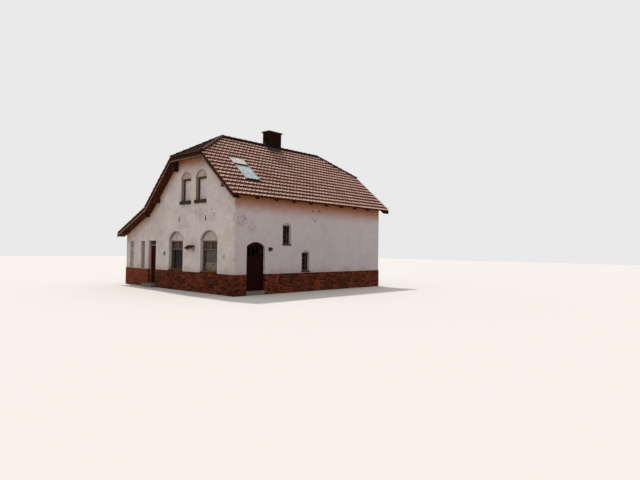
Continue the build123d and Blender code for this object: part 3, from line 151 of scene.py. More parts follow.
def laid_courses():
    """Nodes that lay a unit in rows and columns, each one a little out of true, with its own tone."""
    tree = bpy.data.node_groups.new("laid_courses", "GeometryNodeTree")
    tree.interface.new_socket("Laid", in_out="OUTPUT", socket_type="NodeSocketGeometry")
    for name, kind in (("Unit", "Object"), ("Columns", "Int"), ("Rows", "Int"), ("Column step", "Float"),
                       ("Row step", "Float"), ("Wander", "Float"), ("Turn", "Float"), ("Seed", "Int"),
                       ("Finish", "Material")):
        tree.interface.new_socket(name, in_out="INPUT", socket_type="NodeSocket" + kind)
    given = add(tree, "NodeGroupInput").node.outputs
    spans = []
    for count, step in (("Columns", "Column step"), ("Rows", "Row step")):
        gaps = add(tree, "Math", {0: given[count], 1: 1.0}, operation="SUBTRACT")
        spans.append(add(tree, "Math", {0: gaps, 1: given[step]}, operation="MULTIPLY"))
    grid = add(tree, "GeometryNodeMeshGrid", {"Size X": spans[0], "Size Y": spans[1],
                                              "Vertices X": given["Columns"], "Vertices Y": given["Rows"]})
    unit = add(tree, "GeometryNodeObjectInfo", {"Object": given["Unit"]}, "Geometry")
    swing = add(tree, "FunctionNodeRandomValue", {0: (-1.0, -1.0, -1.0), 1: (1.0, 1.0, 1.0),
                                                  "Seed": given["Seed"]}, data_type="FLOAT_VECTOR")
    turn = add(tree, "VectorMath", {0: swing, "Scale": given["Turn"]}, operation="SCALE")
    placed = add(tree, "GeometryNodeInstanceOnPoints", {"Points": grid, "Instance": unit, "Rotation": turn})
    second = add(tree, "Math", {0: given["Seed"], 1: 101.0})
    drift = add(tree, "FunctionNodeRandomValue", {0: (-1.0, -1.0, -1.0), 1: (1.0, 1.0, 1.0),
                                                  "Seed": second}, data_type="FLOAT_VECTOR")
    push = add(tree, "VectorMath", {0: drift, "Scale": given["Wander"]}, operation="SCALE")
    moved = add(tree, "GeometryNodeTranslateInstances", {"Instances": placed, "Translation": push})
    third = add(tree, "Math", {0: given["Seed"], 1: 202.0})
    tone = add(tree, "FunctionNodeRandomValue", {2: 0.0, 3: 1.0, "Seed": third}, 1, data_type="FLOAT")
    toned = add(tree, "GeometryNodeStoreNamedAttribute", {"Geometry": moved, "Name": "tone", "Value": tone},
                data_type="FLOAT", domain="INSTANCE")
    real = add(tree, "GeometryNodeRealizeInstances", {"Geometry": toned})
    coated = add(tree, "GeometryNodeSetMaterial", {"Geometry": real, "Material": given["Finish"]})
    add(tree, "NodeGroupOutput", {"Laid": coated})
    return tree


LAID_COURSES = laid_courses()


def turned(across, up):
    """Turns x to lie along across, y along up and z outwards."""
    return Matrix((across, up, across.cross(up))).transposed().to_4x4()


def lay(unit, columns, rows, steps, centre, across, up, finish, seed, wander=0.0015, turn=0.006):
    """Mesh of a field of units; x of a unit lies along across, its y along up and its z outwards."""
    carrier = bpy.data.objects.new("carrier", bpy.data.meshes.new("carrier"))
    bpy.context.scene.collection.objects.link(carrier)
    modifier = carrier.modifiers.new("laid", "NODES")
    modifier.node_group = LAID_COURSES
    values = {"Unit": unit, "Columns": columns, "Rows": rows, "Column step": steps[0], "Row step": steps[1],
              "Wander": wander, "Turn": turn, "Seed": seed, "Finish": finish}
    for item in LAID_COURSES.interface.items_tree:
        if item.in_out == "INPUT":
            modifier[item.identifier] = values[item.name]
    bpy.context.view_layer.update()
    graph = bpy.context.evaluated_depsgraph_get()
    mesh = bpy.data.meshes.new_from_object(carrier.evaluated_get(graph), depsgraph=graph)
    across, up = Vector(across).normalized(), Vector(up).normalized()
    mesh.transform(Matrix.Translation(centre) @ turned(across, up))
    bpy.data.objects.remove(carrier)
    return mesh


def shape_of(name, points, faces, material=None):
    """Mesh from points and faces."""
    mesh = bpy.data.meshes.new(name)
    mesh.from_pydata(points, [], faces)
    mesh.validate()
    if material:
        mesh.materials.append(material)
    return mesh


def brick(name, width, height, depth):
    """Brick with its face outwards at z = 0 and worn arrises round the face, ready for laying."""
    points = []
    for inset, z in ((0.0, -depth), (0.0, -ARRIS), (ARRIS, 0.0)):
        w, h = width / 2 - inset, height / 2 - inset
        points += [(-w, -h, z), (w, -h, z), (w, h, z), (-w, h, z)]
    faces = [(3, 2, 1, 0), (8, 9, 10, 11)]
    for base in (0, 4):
        faces += [(base + k, base + (k + 1) % 4, base + 4 + (k + 1) % 4, base + 4 + k) for k in range(4)]
    return bpy.data.objects.new(name, shape_of(name, points, faces))


def trim(mesh, point, normal):
    """Cuts away what lies beyond a plane and closes the cut."""
    shape = bmesh.new()
    shape.from_mesh(mesh)
    whole = shape.verts[:] + shape.edges[:] + shape.faces[:]
    done = bmesh.ops.bisect_plane(shape, geom=whole, plane_co=point, plane_no=normal, clear_outer=True)
    bmesh.ops.holes_fill(shape, edges=[e for e in done["geom_cut"] if isinstance(e, bmesh.types.BMEdge)])
    shape.to_mesh(mesh)
    shape.free()


def take_out(mesh, first, second, low, high):
    """Cuts a rectangular hole through a field; low and high are its corners along two directions."""
    shape = bmesh.new()
    shape.from_mesh(mesh)
    first, second = Vector(first), Vector(second)

    def held(face, slack):
        middle = face.calc_center_median()
        return (low[0] - slack < middle.dot(first) < high[0] + slack
                and low[1] - slack < middle.dot(second) < high[1] + slack)
    for axis, edge in ((first, low[0]), (first, high[0]), (second, low[1]), (second, high[1])):
        near = [f for f in shape.faces if held(f, 0.5)]
        parts = {v for f in near for v in f.verts} | {e for f in near for e in f.edges} | set(near)
        bmesh.ops.bisect_plane(shape, geom=list(parts), plane_co=axis * edge, plane_no=axis)
    bmesh.ops.delete(shape, geom=[f for f in shape.faces if held(f, 0.0)], context="FACES")
    bmesh.ops.holes_fill(shape, edges=[e for e in shape.edges if e.is_boundary])
    shape.to_mesh(mesh)
    shape.free()


def piece(name, meshes, body="building", smooth=None):
    """One object from several meshes, riding on a body and taking its coat from a slot."""
    joined = bmesh.new()
    for mesh in meshes:
        joined.from_mesh(mesh)
    data = bpy.data.meshes.new(name)
    joined.to_mesh(data)
    joined.free()
    for material in meshes[0].materials:
        data.materials.append(material)
    if smooth is not None:
        data.polygons.foreach_set("use_smooth", [True] * len(data.polygons))
        data.set_sharp_from_angle(angle=math.radians(smooth))
    made = bpy.data.objects.new(name, data)
    bpy.context.scene.collection.objects.link(made)
    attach(made, body)
    return made


def fired_brick(name, common, burnt, pale, soot):
    """Fired brick: a tone of its own for each one, burnt patches 40 mm wide and pits of 6 mm."""
    material, tree, shader, place = coat(name, 0.95, 0.05)
    tone = add(tree, "Attribute", out="Fac", attribute_name="tone")
    light = add(tree, "MapRange", {0: tone, 1: 0.0, 2: 0.6}, **SMOOTH)
    over = add(tree, "MapRange", {0: tone, 1: 0.76, 2: 0.8}, **SMOOTH)
    patch = add(tree, "TexNoise", {"Vector": place, "Scale": 25.0, "Detail": 6.0, "Roughness": 0.7})
    patch = add(tree, "MapRange", {0: patch, 1: 0.5, 2: 0.72, 3: 0.0, 4: 0.6}, **SMOOTH)
    broad = add(tree, "TexNoise", {"Vector": place, "Scale": 1.3, "Detail": 3.0})
    broad = add(tree, "MapRange", {0: broad, 1: 0.44, 2: 0.68, 3: 0.0, 4: 0.7}, **SMOOTH)
    # The end of the wall by the front door is lighter than the rest.
    along = add(tree, "SeparateXYZ", {"Vector": place}, "X")
    lighter_end = add(tree, "MapRange", {0: along, 1: -1.9, 2: -2.7, 3: 0.0, 4: 0.45}, **SMOOTH)
    pits = add(tree, "TexNoise", {"Vector": place, "Scale": 160.0, "Detail": 3.0})
    skin(tree, shader, common, pits, 0.35, 0.003, layers=(
        (light, pale), (over, burnt), (patch, burnt), (broad, soot), (lighter_end, "83422a")))
    return material


def lime_mortar(name, pale, dark):
    """Lime mortar, rubbed back, with dirty clouds about 100 mm wide and sand of 3 mm."""
    material, tree, shader, place, colour = clouded(
        name, 0.95, 0.15, 10.0, 5.0, pale, dark, (0.35, 0.65))[:5]
    sand = add(tree, "TexNoise", {"Vector": place, "Scale": 300.0, "Detail": 2.0})
    skin(tree, shader, colour, sand)
    return material


plinth_brick = fired_brick("fired_plinth_brick", "542415", "2c120a", "743722", "371809")
plinth_mortar = lime_mortar("sooty_plinth_mortar", "493022", "2e1c13")
dress(plinth_mortar, "plinth_front", "plinth_sides", "plinth_rear")
stretcher = brick("stretcher", BRICK_CELL - JOINT, COURSE - JOINT, BRICK_D)
header = brick("header", BRICK_CELL / 2 - JOINT, COURSE - JOINT, BRICK_CELL - JOINT)
short_header = brick("short_header", BRICK_CELL / 2 - JOINT, COURSE - JOINT, BRICK_D)


def brickwork(start, across, length, seed, corner=0.0, z0=0.0, courses=COURSES, finish=plinth_brick):
    """Courses on one face. A face whose corners belong to the next faces' bricks starts that much
    further in, with headers where the others have stretchers."""
    start, across = Vector(start), Vector(across)
    fields = []
    for first in (0, 1):
        run = length - 2 * corner * (1 + first)
        middle = start + across * (length / 2)
        middle.z = z0 + COURSE * (first + courses / 2 - 0.5)
        cells = max(1, round(run / BRICK_CELL))
        unit, count, step = stretcher, cells, run / cells
        if (first == 1) != (corner > 0):
            unit, count, step = (short_header if corner else header, 2 * cells + 1, step / 2)
        mesh = lay(unit, count, courses // 2, (step, 2 * COURSE), middle, across, (0, 0, 1), finish,
                   seed + first)
        end = run / 2 + (0 if corner else PROUD)
        trim(mesh, middle + across * end, across)
        trim(mesh, middle - across * end, -across)
        fields.append(mesh)
    return fields


plinth_lo, plinth_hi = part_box("plinth_front")
plinth_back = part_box("plinth_rear")[1].y
door_lo, door_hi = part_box("front_wall_over_door")
side_lo, side_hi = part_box("side_door")
CORNER = BRICK_CELL / 2
front_y, back_y = plinth_lo.y - PROUD, plinth_back + PROUD
left_x, right_x = plinth_lo.x - PROUD, plinth_hi.x + PROUD
depth = plinth_back - plinth_lo.y
piece("plinth_front_bricks",
      brickwork((plinth_lo.x, front_y, 0), (1, 0, 0), door_lo.x - plinth_lo.x, 11)
      + brickwork((door_hi.x, front_y, 0), (1, 0, 0), plinth_hi.x - door_hi.x, 13))
piece("plinth_rear_bricks",
      brickwork((plinth_hi.x, back_y, 0), (-1, 0, 0), plinth_hi.x - plinth_lo.x, 15))
piece("plinth_left_bricks", brickwork((left_x, plinth_back, 0), (0, -1, 0), depth, 17, CORNER))
side_fields = brickwork((right_x, plinth_lo.y, 0), (0, 1, 0), depth, 19, CORNER)
for field in side_fields:
    take_out(field, (0, 1, 0), (0, 0, 1), (side_lo.y, -1.0), (side_hi.y, 2.0))
piece("plinth_right_bricks", side_fields)

# Steps and sills. The doorsteps are dressed granite; the sills of the gable windows and the small
# windows are dark sandstone; the wide windows have sills of bricks set on edge in mortar.
SILL_BRICKS = 18
ROWLOCK_L = 0.19
ROWLOCK_D = 0.038
# From the sill's edge to the middle of its row of bricks.
ROWLOCK_IN = 0.09

# Granite: bush-hammered, with crystals of about 10 mm.
granite, tree, shader, place, colour, crystal = clouded(
    "dressed_granite", 0.8, 0.3, 95.0, 4.0, "4b443e", "7f756a", (0.42, 0.6), Roughness=0.8)
skin(tree, shader, colour, crystal, 0.3, 0.004)
dress(granite, "door_steps")

# Sandstone: sawn, soot-darkened, with bedding clouds 70 mm wide and a coarse grain.
sandstone, tree, shader, place, colour, bedding = clouded(
    "soot_dark_sandstone", 0.9, 0.15, 14.0, 6.0, "261c17", "43372f", (0.35, 0.7), Roughness=0.7)
skin(tree, shader, colour, bedding, 0.5, 0.006)
dress(sandstone, "stone_sills", "chimney_cap")

dress(plinth_mortar, "brick_sills")
sill_lo, sill_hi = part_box("brick_sills")
WIDE_WINDOWS = ((-0.44, 0.85), (2.365, 3.695))
rowlocks = []
for number, (x0, x1) in enumerate(WIDE_WINDOWS):
    step = (x1 - x0) / SILL_BRICKS
    rowlock = brick("rowlock", step - JOINT, ROWLOCK_L, ROWLOCK_D)
    for side, y in ((1, sill_lo.y + ROWLOCK_IN), (-1, sill_hi.y - ROWLOCK_IN)):
        rowlocks.append(lay(rowlock, SILL_BRICKS, 1, (step, 1.0), ((x0 + x1) / 2, y, sill_hi.z + 0.003),
                            (1, 0, 0), (0, 1, 0), plinth_brick, 31 + number * 2 + side, 0.001, 0.008))
piece("sill_bricks", rowlocks)

# Walls. Brick walls under a thin off-white lime render, floated by hand and limewashed. It has
# weathered to a warm grey, brown under the eaves, with places where it flakes or was knocked off.
WALL_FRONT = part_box("front_gable")[0].y
WALL_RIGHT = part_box("right_wall")[1].x
RIDGE = Vector((1.521, 0.0, 7.772))
KINK = Vector((-2.320, 0.0, 4.190))
EAVE_R = Vector((5.420, 0.0, 4.463))
EAVE_L = Vector((-5.398, 0.0, 2.907))
HIP_EAVE = Vector((0.0, -5.612, 6.542))
HIP_PITCH = math.radians(30)
TAN_R = (RIDGE.z - EAVE_R.z) / (EAVE_R.x - RIDGE.x)
TAN_L = (RIDGE.z - KINK.z) / (RIDGE.x - KINK.x)
TAN_C = (KINK.z - EAVE_L.z) / (KINK.x - EAVE_L.x)
# Arches over the gables' windows: their two sides, head of the window and rise.
ARCHES = (*((x0, x1, 2.433, 0.44) for x0, x1 in WIDE_WINDOWS),
          (0.610, 1.480, 5.453, 0.28), (1.890, 2.770, 5.453, 0.28))
# Worn places: middle of each, its reach, and how much of it is gone.
WORN = ((2.2, WALL_FRONT, 3.70, 1.1, 0.57), (3.3, WALL_FRONT, 3.62, 1.0, 0.57),
        (0.5, WALL_FRONT, 3.30, 1.1, 0.52), (4.85, WALL_FRONT, 3.4, 0.7, 0.57),
        (4.9, WALL_FRONT, 1.9, 0.7, 0.48), (4.23, WALL_FRONT, 1.72, 0.46, 0.64),
        (1.55, WALL_FRONT, 1.80, 0.35, 0.42), (-1.3, WALL_FRONT, 2.9, 0.8, 0.36),
        (WALL_RIGHT, -4.9, 3.35, 0.9, 0.62), (WALL_RIGHT, -4.3, 3.05, 0.8, 0.60),
        (WALL_RIGHT, -5.1, 2.3, 0.7, 0.56), (WALL_RIGHT, -0.2, 3.6, 0.6, 0.56),
        (WALL_RIGHT, -5.1, 1.5, 0.6, 0.54), (WALL_RIGHT, 2.6, 1.5, 0.9, 0.46))
# The rooms: middle and half of their reach, across the building and back.
ROOM_X, ROOM_Y = (-0.02, 4.66), (0.0, 4.86)
# Knocked-out holes: middle and size of each.
HOLES = ((WALL_RIGHT, -0.364, 4.0, 0.055), (WALL_RIGHT, 0.108, 4.03, 0.055),
         (WALL_RIGHT, -0.208, 3.527, 0.045), (WALL_RIGHT, -0.42, 3.62, 0.03),
         (WALL_RIGHT, 0.02, 3.64, 0.025), (3.42, WALL_FRONT, 3.66, 0.03), (4.55, WALL_FRONT, 3.95, 0.028),
         (1.05, WALL_FRONT, 3.12, 0.028), (1.62, WALL_FRONT, 3.10, 0.025))

# Render: clouds 1 m and 300 mm wide from floating, rain runs 150 mm wide, sand of 3 mm drawn at 25 mm.
render, tree, shader, place = coat("weathered_lime_render", 0.95, 0.15)
axes = add(tree, "SeparateXYZ", {"Vector": place}).node.outputs
broad = add(tree, "TexNoise", {"Vector": place, "Scale": 0.9, "Detail": 5.0, "Roughness": 0.6})
floated = add(tree, "TexNoise", {"Vector": place, "Scale": 3.3, "Detail": 6.0, "Roughness": 0.65})
sand = add(tree, "TexNoise", {"Vector": place, "Scale": 40.0, "Detail": 5.0, "Roughness": 0.7})
drawn = add(tree, "Mapping", {"Vector": place, "Scale": (6.5, 6.5, 0.5)})
runs = add(tree, "TexNoise", {"Vector": drawn, "Scale": 1.0, "Detail": 4.0})
wide = add(tree, "MapRange", {0: broad, 1: 0.36, 2: 0.64}, **SMOOTH)
pale = add(tree, "MapRange", {0: floated, 1: 0.42, 2: 0.66, 3: 0.0, 4: 0.45}, **SMOOTH)
washed = add(tree, "MapRange", {0: runs, 1: 0.55, 2: 0.75, 3: 0.0, 4: 0.2}, **SMOOTH)
# The side wall away from the tracks is painted greyer and darker: painted shade, for it is turned from the
# light.
on_side = add(tree, "MapRange", {0: axes["X"], 1: WALL_RIGHT - 0.03, 2: WALL_RIGHT - 0.005})
side_shade = add(tree, "Math", {0: on_side, 1: 0.6}, operation="MULTIPLY")
# Brick dust and splashes just above the plinth.
lift = add(tree, "MapRange", {0: runs, 1: 0.3, 2: 0.7, 3: -0.2, 4: 0.25})
height = add(tree, "Math", {0: axes["Z"], 1: lift})
splash = add(tree, "MapRange", {0: height, 1: 1.3, 2: 0.9, 3: 0.0, 4: 0.4}, **SMOOTH)
# Dirt and rust washed from the roof, with painted shade under the overhangs: brown within about half a
# metre of the eaves and verges.
right_plane, left_plane, cat_plane = [
    add(tree, "Math", {0: axes["X"], 1: slope, 2: top.z - slope * top.x}, operation="MULTIPLY_ADD")
    for slope, top in ((-TAN_R, RIDGE), (TAN_L, RIDGE), (TAN_C, KINK))]
roof_line = add(tree, "Math", {0: left_plane, 1: cat_plane}, operation="MAXIMUM")
roof_line = add(tree, "Math", {0: roof_line, 1: right_plane}, operation="MINIMUM")
roof_line = add(tree, "Math", {0: roof_line, 1: HIP_EAVE.z + 0.2}, operation="MINIMUM")
below = add(tree, "Math", {0: roof_line, 1: axes["Z"]}, operation="SUBTRACT")
ragged = add(tree, "MapRange", {0: floated, 1: 0.3, 2: 0.7, 3: -0.05, 4: 0.05})
below = add(tree, "Math", {0: below, 1: ragged})
below = add(tree, "Math", {0: on_side, 1: -0.17, 2: below}, operation="MULTIPLY_ADD")
brown = add(tree, "MapRange", {0: below, 1: 1.15, 2: 0.3}, **SMOOTH)
gable_top = add(tree, "MapRange", {0: axes["Z"], 1: 5.3, 2: 6.0, 3: 0.55, 4: 0.95})
strength = add(tree, "Math", {0: on_side, 1: 0.42, 2: gable_top}, operation="MULTIPLY_ADD")
brown = add(tree, "Math", {0: brown, 1: strength}, operation="MULTIPLY", use_clamp=True)
stain_and_shade_brown = add(tree, "Mix", {0: floated, 6: "9c5a36", 7: "9a6644"}, **BLEND)
# Painted shade: a darker brown close under the eaves and verges.
edge = add(tree, "MapRange", {0: below, 1: 0.5, 2: 0.12, 3: 0.0, 4: 0.6}, **SMOOTH)
# The reveals in the gables: a painted shadow line round the arches, and painted shade, tan-brown, in the
# reveals above the lower windows' heads and at the upper windows.
deep = add(tree, "Math", {0: axes["Y"]}, operation="ABSOLUTE")
deep = add(tree, "Math", {0: -WALL_FRONT, 1: deep}, operation="SUBTRACT")
recess = add(tree, "Math", {0: deep, 1: 0.17, 2: 0.162}, operation="COMPARE")
upper = add(tree, "MapRange", {0: axes["Z"], 1: 2.5, 2: 2.7, 3: 0.0, 4: 0.8})
upper = add(tree, "Math", {0: recess, 1: upper}, operation="MULTIPLY")
across = add(tree, "Math", {0: axes["X"], 1: 0.0, 2: 4.9}, operation="COMPARE")
upper = add(tree, "Math", {0: across, 1: upper}, operation="MULTIPLY")
reveal_shade = add(tree, "MapRange", {0: axes["Z"], 1: 4.0, 2: 4.1})
reveal_shade = add(tree, "Mix", {0: reveal_shade, 6: "80604f", 7: "92765a"}, **BLEND)
# A brown line is painted round the arches of the gables: a painted shadow line at the edge of each arch's
# reveal.
upright = add(tree, "VectorMath", {0: place, 1: (1.0, 0.0, 1.0)}, operation="MULTIPLY")
arch_shadow_line = 0.0
for x0, x1, head, rise in ARCHES:
    radius = ((x1 - x0) ** 2 / 4 + rise ** 2) / (2 * rise)
    gap = add(tree, "VectorMath", {0: upright, 1: ((x0 + x1) / 2, 0.0, head + rise - radius)}, "Value",
              operation="DISTANCE")
    off = add(tree, "Math", {0: gap, 1: radius + 0.022}, operation="SUBTRACT")
    off = add(tree, "Math", {0: off}, operation="ABSOLUTE")
    line = add(tree, "MapRange", {0: off, 1: 0.036, 2: 0.010, 3: 0.0, 4: 0.7})
    above = add(tree, "Math", {0: axes["Z"], 1: head}, operation="GREATER_THAN")
    line = add(tree, "Math", {0: line, 1: above}, operation="MULTIPLY")
    arch_shadow_line = add(tree, "Math", {0: arch_shadow_line, 1: line}, operation="MAXIMUM")
# Flaked places: crumbs about 40 mm wide come off in rows, where the joints of the bricks are.
worn = 0.0
for x, y, z, reach, force in WORN:
    gap = add(tree, "VectorMath", {0: place, 1: (x, y, z)}, "Value", operation="DISTANCE")
    near = add(tree, "MapRange", {0: gap, 1: reach, 2: reach * 0.2, 3: 0.0, 4: force}, **SMOOTH)
    worn = add(tree, "Math", {0: worn, 1: near}, operation="MAXIMUM")
rows = add(tree, "Mapping", {"Vector": place, "Scale": (13.0, 13.0, 30.0)})
crumb = add(tree, "TexNoise", {"Vector": rows, "Scale": 1.0, "Detail": 3.0, "Roughness": 0.55})
broken = add(tree, "Math", {0: worn, 1: crumb})
lip = add(tree, "MapRange", {0: broken, 1: 1.05, 2: 1.13, 3: 0.0, 4: 0.3}, **SMOOTH)
flake = add(tree, "MapRange", {0: broken, 1: 1.13, 2: 1.18}, **SMOOTH)
backing = add(tree, "Mix", {0: sand, 6: "6f605a", 7: "8f8079"}, **BLEND)
pit = 0.0
for x, y, z, size in HOLES:
    gap = add(tree, "VectorMath", {0: place, 1: (x, y, z)}, "Value", operation="DISTANCE")
    ragged = add(tree, "MapRange", {0: sand, 1: 0.3, 2: 0.7, 3: -0.02, 4: 0.02})
    gap = add(tree, "Math", {0: gap, 1: ragged})
    near = add(tree, "MapRange", {0: gap, 1: size, 2: size * 0.7}, **SMOOTH)
    pit = add(tree, "Math", {0: pit, 1: near}, operation="MAXIMUM")
# Indoors the plaster is bare, painted dark brown as painted shade in the unlit rooms.
indoor_shade = 1.0
for axis, (middle, reach) in (("X", ROOM_X), ("Y", ROOM_Y)):
    away = add(tree, "Math", {0: axes[axis], 1: middle}, operation="SUBTRACT")
    away = add(tree, "Math", {0: away}, operation="ABSOLUTE")
    within = add(tree, "Math", {0: away, 1: reach}, operation="LESS_THAN")
    indoor_shade = add(tree, "Math", {0: indoor_shade, 1: within}, operation="MULTIPLY")
relief = add(tree, "Math", {0: floated, 1: 0.5, 2: sand}, operation="MULTIPLY_ADD")
for lower in (flake, pit):
    relief = add(tree, "Math", {0: relief, 1: lower}, operation="SUBTRACT")
skin(tree, shader, "beb2ae", relief, 0.45, 0.006, layers=(
    (wide, "b1a49f"), (pale, "cac0bc"), (washed, "8d807a"), (side_shade, "a4989e"), (splash, "8a756b"),
    (brown, stain_and_shade_brown), (edge, "75482f"), (upper, reveal_shade), (arch_shadow_line, "745243"), (lip, "c2b8b2"),
    (flake, backing), (pit, "2a1c18"), (indoor_shade, "2a201a")))
dress(render, "front_wall_left", "front_wall_right", "front_wall_over_door", "front_gable", "rear_wall",
      "rear_gable", "left_wall", "right_wall")

# Arch panels: smooth plaster, limewashed more often than the wall, so paler and warmer.
plaster, tree, shader, place, colour = clouded(
    "limewashed_plaster", 0.9, 0.2, 4.0, 6.0, "b5a79d", "a0918a", (0.35, 0.65))[:5]
high = add(tree, "SeparateXYZ", {"Vector": place}, "Z")
# Towards the gable's top the panels turn brown: partly dirt, partly painted shade under the half hip.
brown = add(tree, "MapRange", {0: high, 1: 5.0, 2: 5.3, 3: 0.0, 4: 0.55})
sand = add(tree, "TexNoise", {"Vector": place, "Scale": 60.0, "Detail": 3.0})
skin(tree, shader, colour, sand, 0.2, 0.003, layers=((brown, "9a8373"),))
dress(plaster, "arch_panels")

# Ironwork and meter box. The anchors of the upper floor and the lamp by the side door are forged
# and cast iron in worn black paint; the meter box is sheet steel in dull grey enamel.
iron, tree, shader, place, colour, rust = clouded(
    "rusting_black_iron", 0.65, 0.3, 30.0, 5.0, "1a1615", "45281b", (0.45, 0.62))
skin(tree, shader, colour, rust)
dress(iron, "tie_anchors", "wall_lamp")

# Enamel: dull grey, with dust in clouds 50 mm wide.
enamel = clouded("dull_grey_enamel", 0.5, 0.4, 18.0, 5.0, "6d665f", "4f4943")[0]
dress(enamel, "meter_box")

# Windows. Pine frames in worn tan-grey paint with single panes held by putty. Boards close the two
# gable windows and the tall slots.
BOARD_W = 0.075
# Heights above the tall slots and below the gable windows; middle and half height of the top lights.
# Glass right of TOP_LIGHT_LEFT and further out than GABLE_GLASS_Y belongs to the gables' windows.
SLOT_TOP_Z = 3.0
GABLE_Z = 4.3
TOP_LIGHT_Z = 2.22
TOP_LIGHT_REACH = 0.21
TOP_LIGHT_LEFT = -1.0
GABLE_GLASS_Y = 4.9

# Frame paint: brushed along the wood, worn through to bare wood in streaks 15 mm wide.
paint, tree, shader, place = coat("worn_tan_grey_paint", 0.7, 0.3)
drawn = add(tree, "Mapping", {"Vector": place, "Scale": (60.0, 60.0, 9.0)})
streak = add(tree, "TexNoise", {"Vector": drawn, "Scale": 1.0, "Detail": 5.0})
streak = add(tree, "MapRange", {0: streak, 1: 0.4, 2: 0.68}, **SMOOTH)
axes = add(tree, "SeparateXYZ", {"Vector": place}).node.outputs
upper = add(tree, "Math", {0: axes["Z"], 1: GABLE_Z}, operation="GREATER_THAN")
upper = add(tree, "Math", {0: upper, 1: 0.75}, operation="MULTIPLY")
# Frames on the side wall are painted darker: painted shade on the side turned from the light.
side = add(tree, "MapRange", {0: axes["X"], 1: 4.6, 2: 4.7})
skin(tree, shader, "645445", streak, 0.3, 0.001, layers=(
    (streak, "41332a"), (upper, "43341f"), (side, "42291f")))
dress(paint, "window_frames")

# Glass: drawn sheet under a thin grey-brown dust, so it mirrors less than clean glass.
pane, tree, shader, place, colour = clouded(
    "dusty_drawn_glass", 0.08, 0.2, 2.5, 4.0, "e2dacf", "c6bbae")[:5]
shader["IOR"].default_value = 1.12
axes = add(tree, "SeparateXYZ", {"Vector": place}).node.outputs
# The top lights of the wide windows are painted brown and half opaque: painted shade of the dark room
# behind them.
top_light_shade = add(tree, "Math", {0: axes["Z"], 1: TOP_LIGHT_Z, 2: TOP_LIGHT_REACH}, operation="COMPARE")
from_middle = add(tree, "Math", {0: axes["Y"]}, operation="ABSOLUTE")
for size, least in ((axes["X"], TOP_LIGHT_LEFT), (from_middle, GABLE_GLASS_Y)):
    past = add(tree, "Math", {0: size, 1: least}, operation="GREATER_THAN")
    top_light_shade = add(tree, "Math", {0: top_light_shade, 1: past}, operation="MULTIPLY")
skin(tree, shader, colour, layers=((top_light_shade, "6a5546"),))
tree.links.new(add(tree, "MapRange", {0: top_light_shade, 3: 1.0, 4: 0.5}), shader["Transmission Weight"])
dress(pane, "window_glass")

# Boards: planed, painted off-white in the gable and once white, now brown-grey, in the slots.
boards, tree, shader, place = coat("chalky_painted_boards", 0.85, 0.25)
axes = add(tree, "SeparateXYZ", {"Vector": place}).node.outputs
cloud = add(tree, "TexNoise", {"Vector": place, "Scale": 4.0, "Detail": 6.0})
cloud = add(tree, "MapRange", {0: cloud, 1: 0.35, 2: 0.65}, **SMOOTH)
second = add(tree, "MapRange", {0: axes["X"], 1: -3.9, 2: -3.8, 3: 0.0, 4: 0.75})
low = add(tree, "Mix", {0: cloud, 6: "a89990", 7: "877870"}, **BLEND)
high = add(tree, "Mix", {0: cloud, 6: "c6b7b7", 7: "b3a5a4"}, **BLEND)
above = add(tree, "Math", {0: axes["Z"], 1: SLOT_TOP_Z}, operation="GREATER_THAN")
seam = add(tree, "Math", {0: axes["X"], 1: BOARD_W}, operation="PINGPONG")
groove = add(tree, "MapRange", {0: seam, 1: 0.0, 2: 0.004, 3: 0.35, 4: 0.0})
skin(tree, shader, low, groove, -0.5, 0.003, layers=(
    (second, "6c574f"), (above, high), (groove, "5c504c")))
dress(boards, "window_boards")

# Curtain. A cotton net curtain, 1.60 m wide before it was gathered on its thin iron rod behind the
# right-hand wide window. Its lower third is close lace with a straight hem.
PLEATS = 26
LACE_TOP = 1.40
CURTAIN_IN = 0.035
CURTAIN_BACK = 0.004
ROD_R = 0.006
KNOB_R = 0.010

# Net: threads too fine to show at this size, so a soft grain of 7 mm; the lace flowers are 70 mm.
net, tree, shader, place = coat("gathered_cotton_net", 0.95, 0.1)
shader["Sheen Weight"].default_value = 0.3
high = add(tree, "SeparateXYZ", {"Vector": place}, "Z")
thread = add(tree, "TexNoise", {"Vector": place, "Scale": 140.0, "Detail": 2.0})
flower = add(tree, "TexNoise", {"Vector": place, "Scale": 14.0, "Detail": 3.0, "Distortion": 1.5})
lace = add(tree, "MapRange", {0: flower, 1: 0.45, 2: 0.55}, **SMOOTH)
lace = add(tree, "Mix", {0: lace, 6: "d4cec8", 7: "a39d97"}, **BLEND)
low = add(tree, "MapRange", {0: high, 1: LACE_TOP + 0.03, 2: LACE_TOP - 0.03}, **SMOOTH)
skin(tree, shader, "9a9697", thread, 0.2, 0.001, layers=((thread, "7e7a7b"), (low, lace)))
curtain_lo, curtain_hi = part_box("window_curtain")
curtain_y = (curtain_lo.y + curtain_hi.y) / 2
hem_z, head_z = curtain_lo.z + 0.01, curtain_hi.z - 0.012
curtain_w = curtain_hi.x - curtain_lo.x
across_steps, down_steps = PLEATS * 8, 18
points, faces = [], []
for row in range(down_steps + 1):
    t = row / down_steps
    for column in range(across_steps + 1):
        u = column / across_steps
        fall = 1 - t
        phase = 2 * math.pi * PLEATS * (u + 0.004 * math.sin(17.0 * u + 2.0 * fall))
        x = curtain_lo.x + CURTAIN_IN + u * (curtain_w - 2 * CURTAIN_IN) + 0.004 * math.sin(2 * phase)
        swell = (0.0085 + 0.0035 * fall + 0.002 * math.sin(9.1 * u)) * (0.75 + 0.25 * fall)
        y = curtain_y + CURTAIN_BACK + swell * math.sin(phase)
        points.append((x, y, hem_z + t * (head_z - hem_z) + 0.002 * math.sin(phase) * fall))
        if row and column:
            b = len(points) - 1
            a = b - across_steps - 1
            faces.append((a - 1, a, b, b - 1))
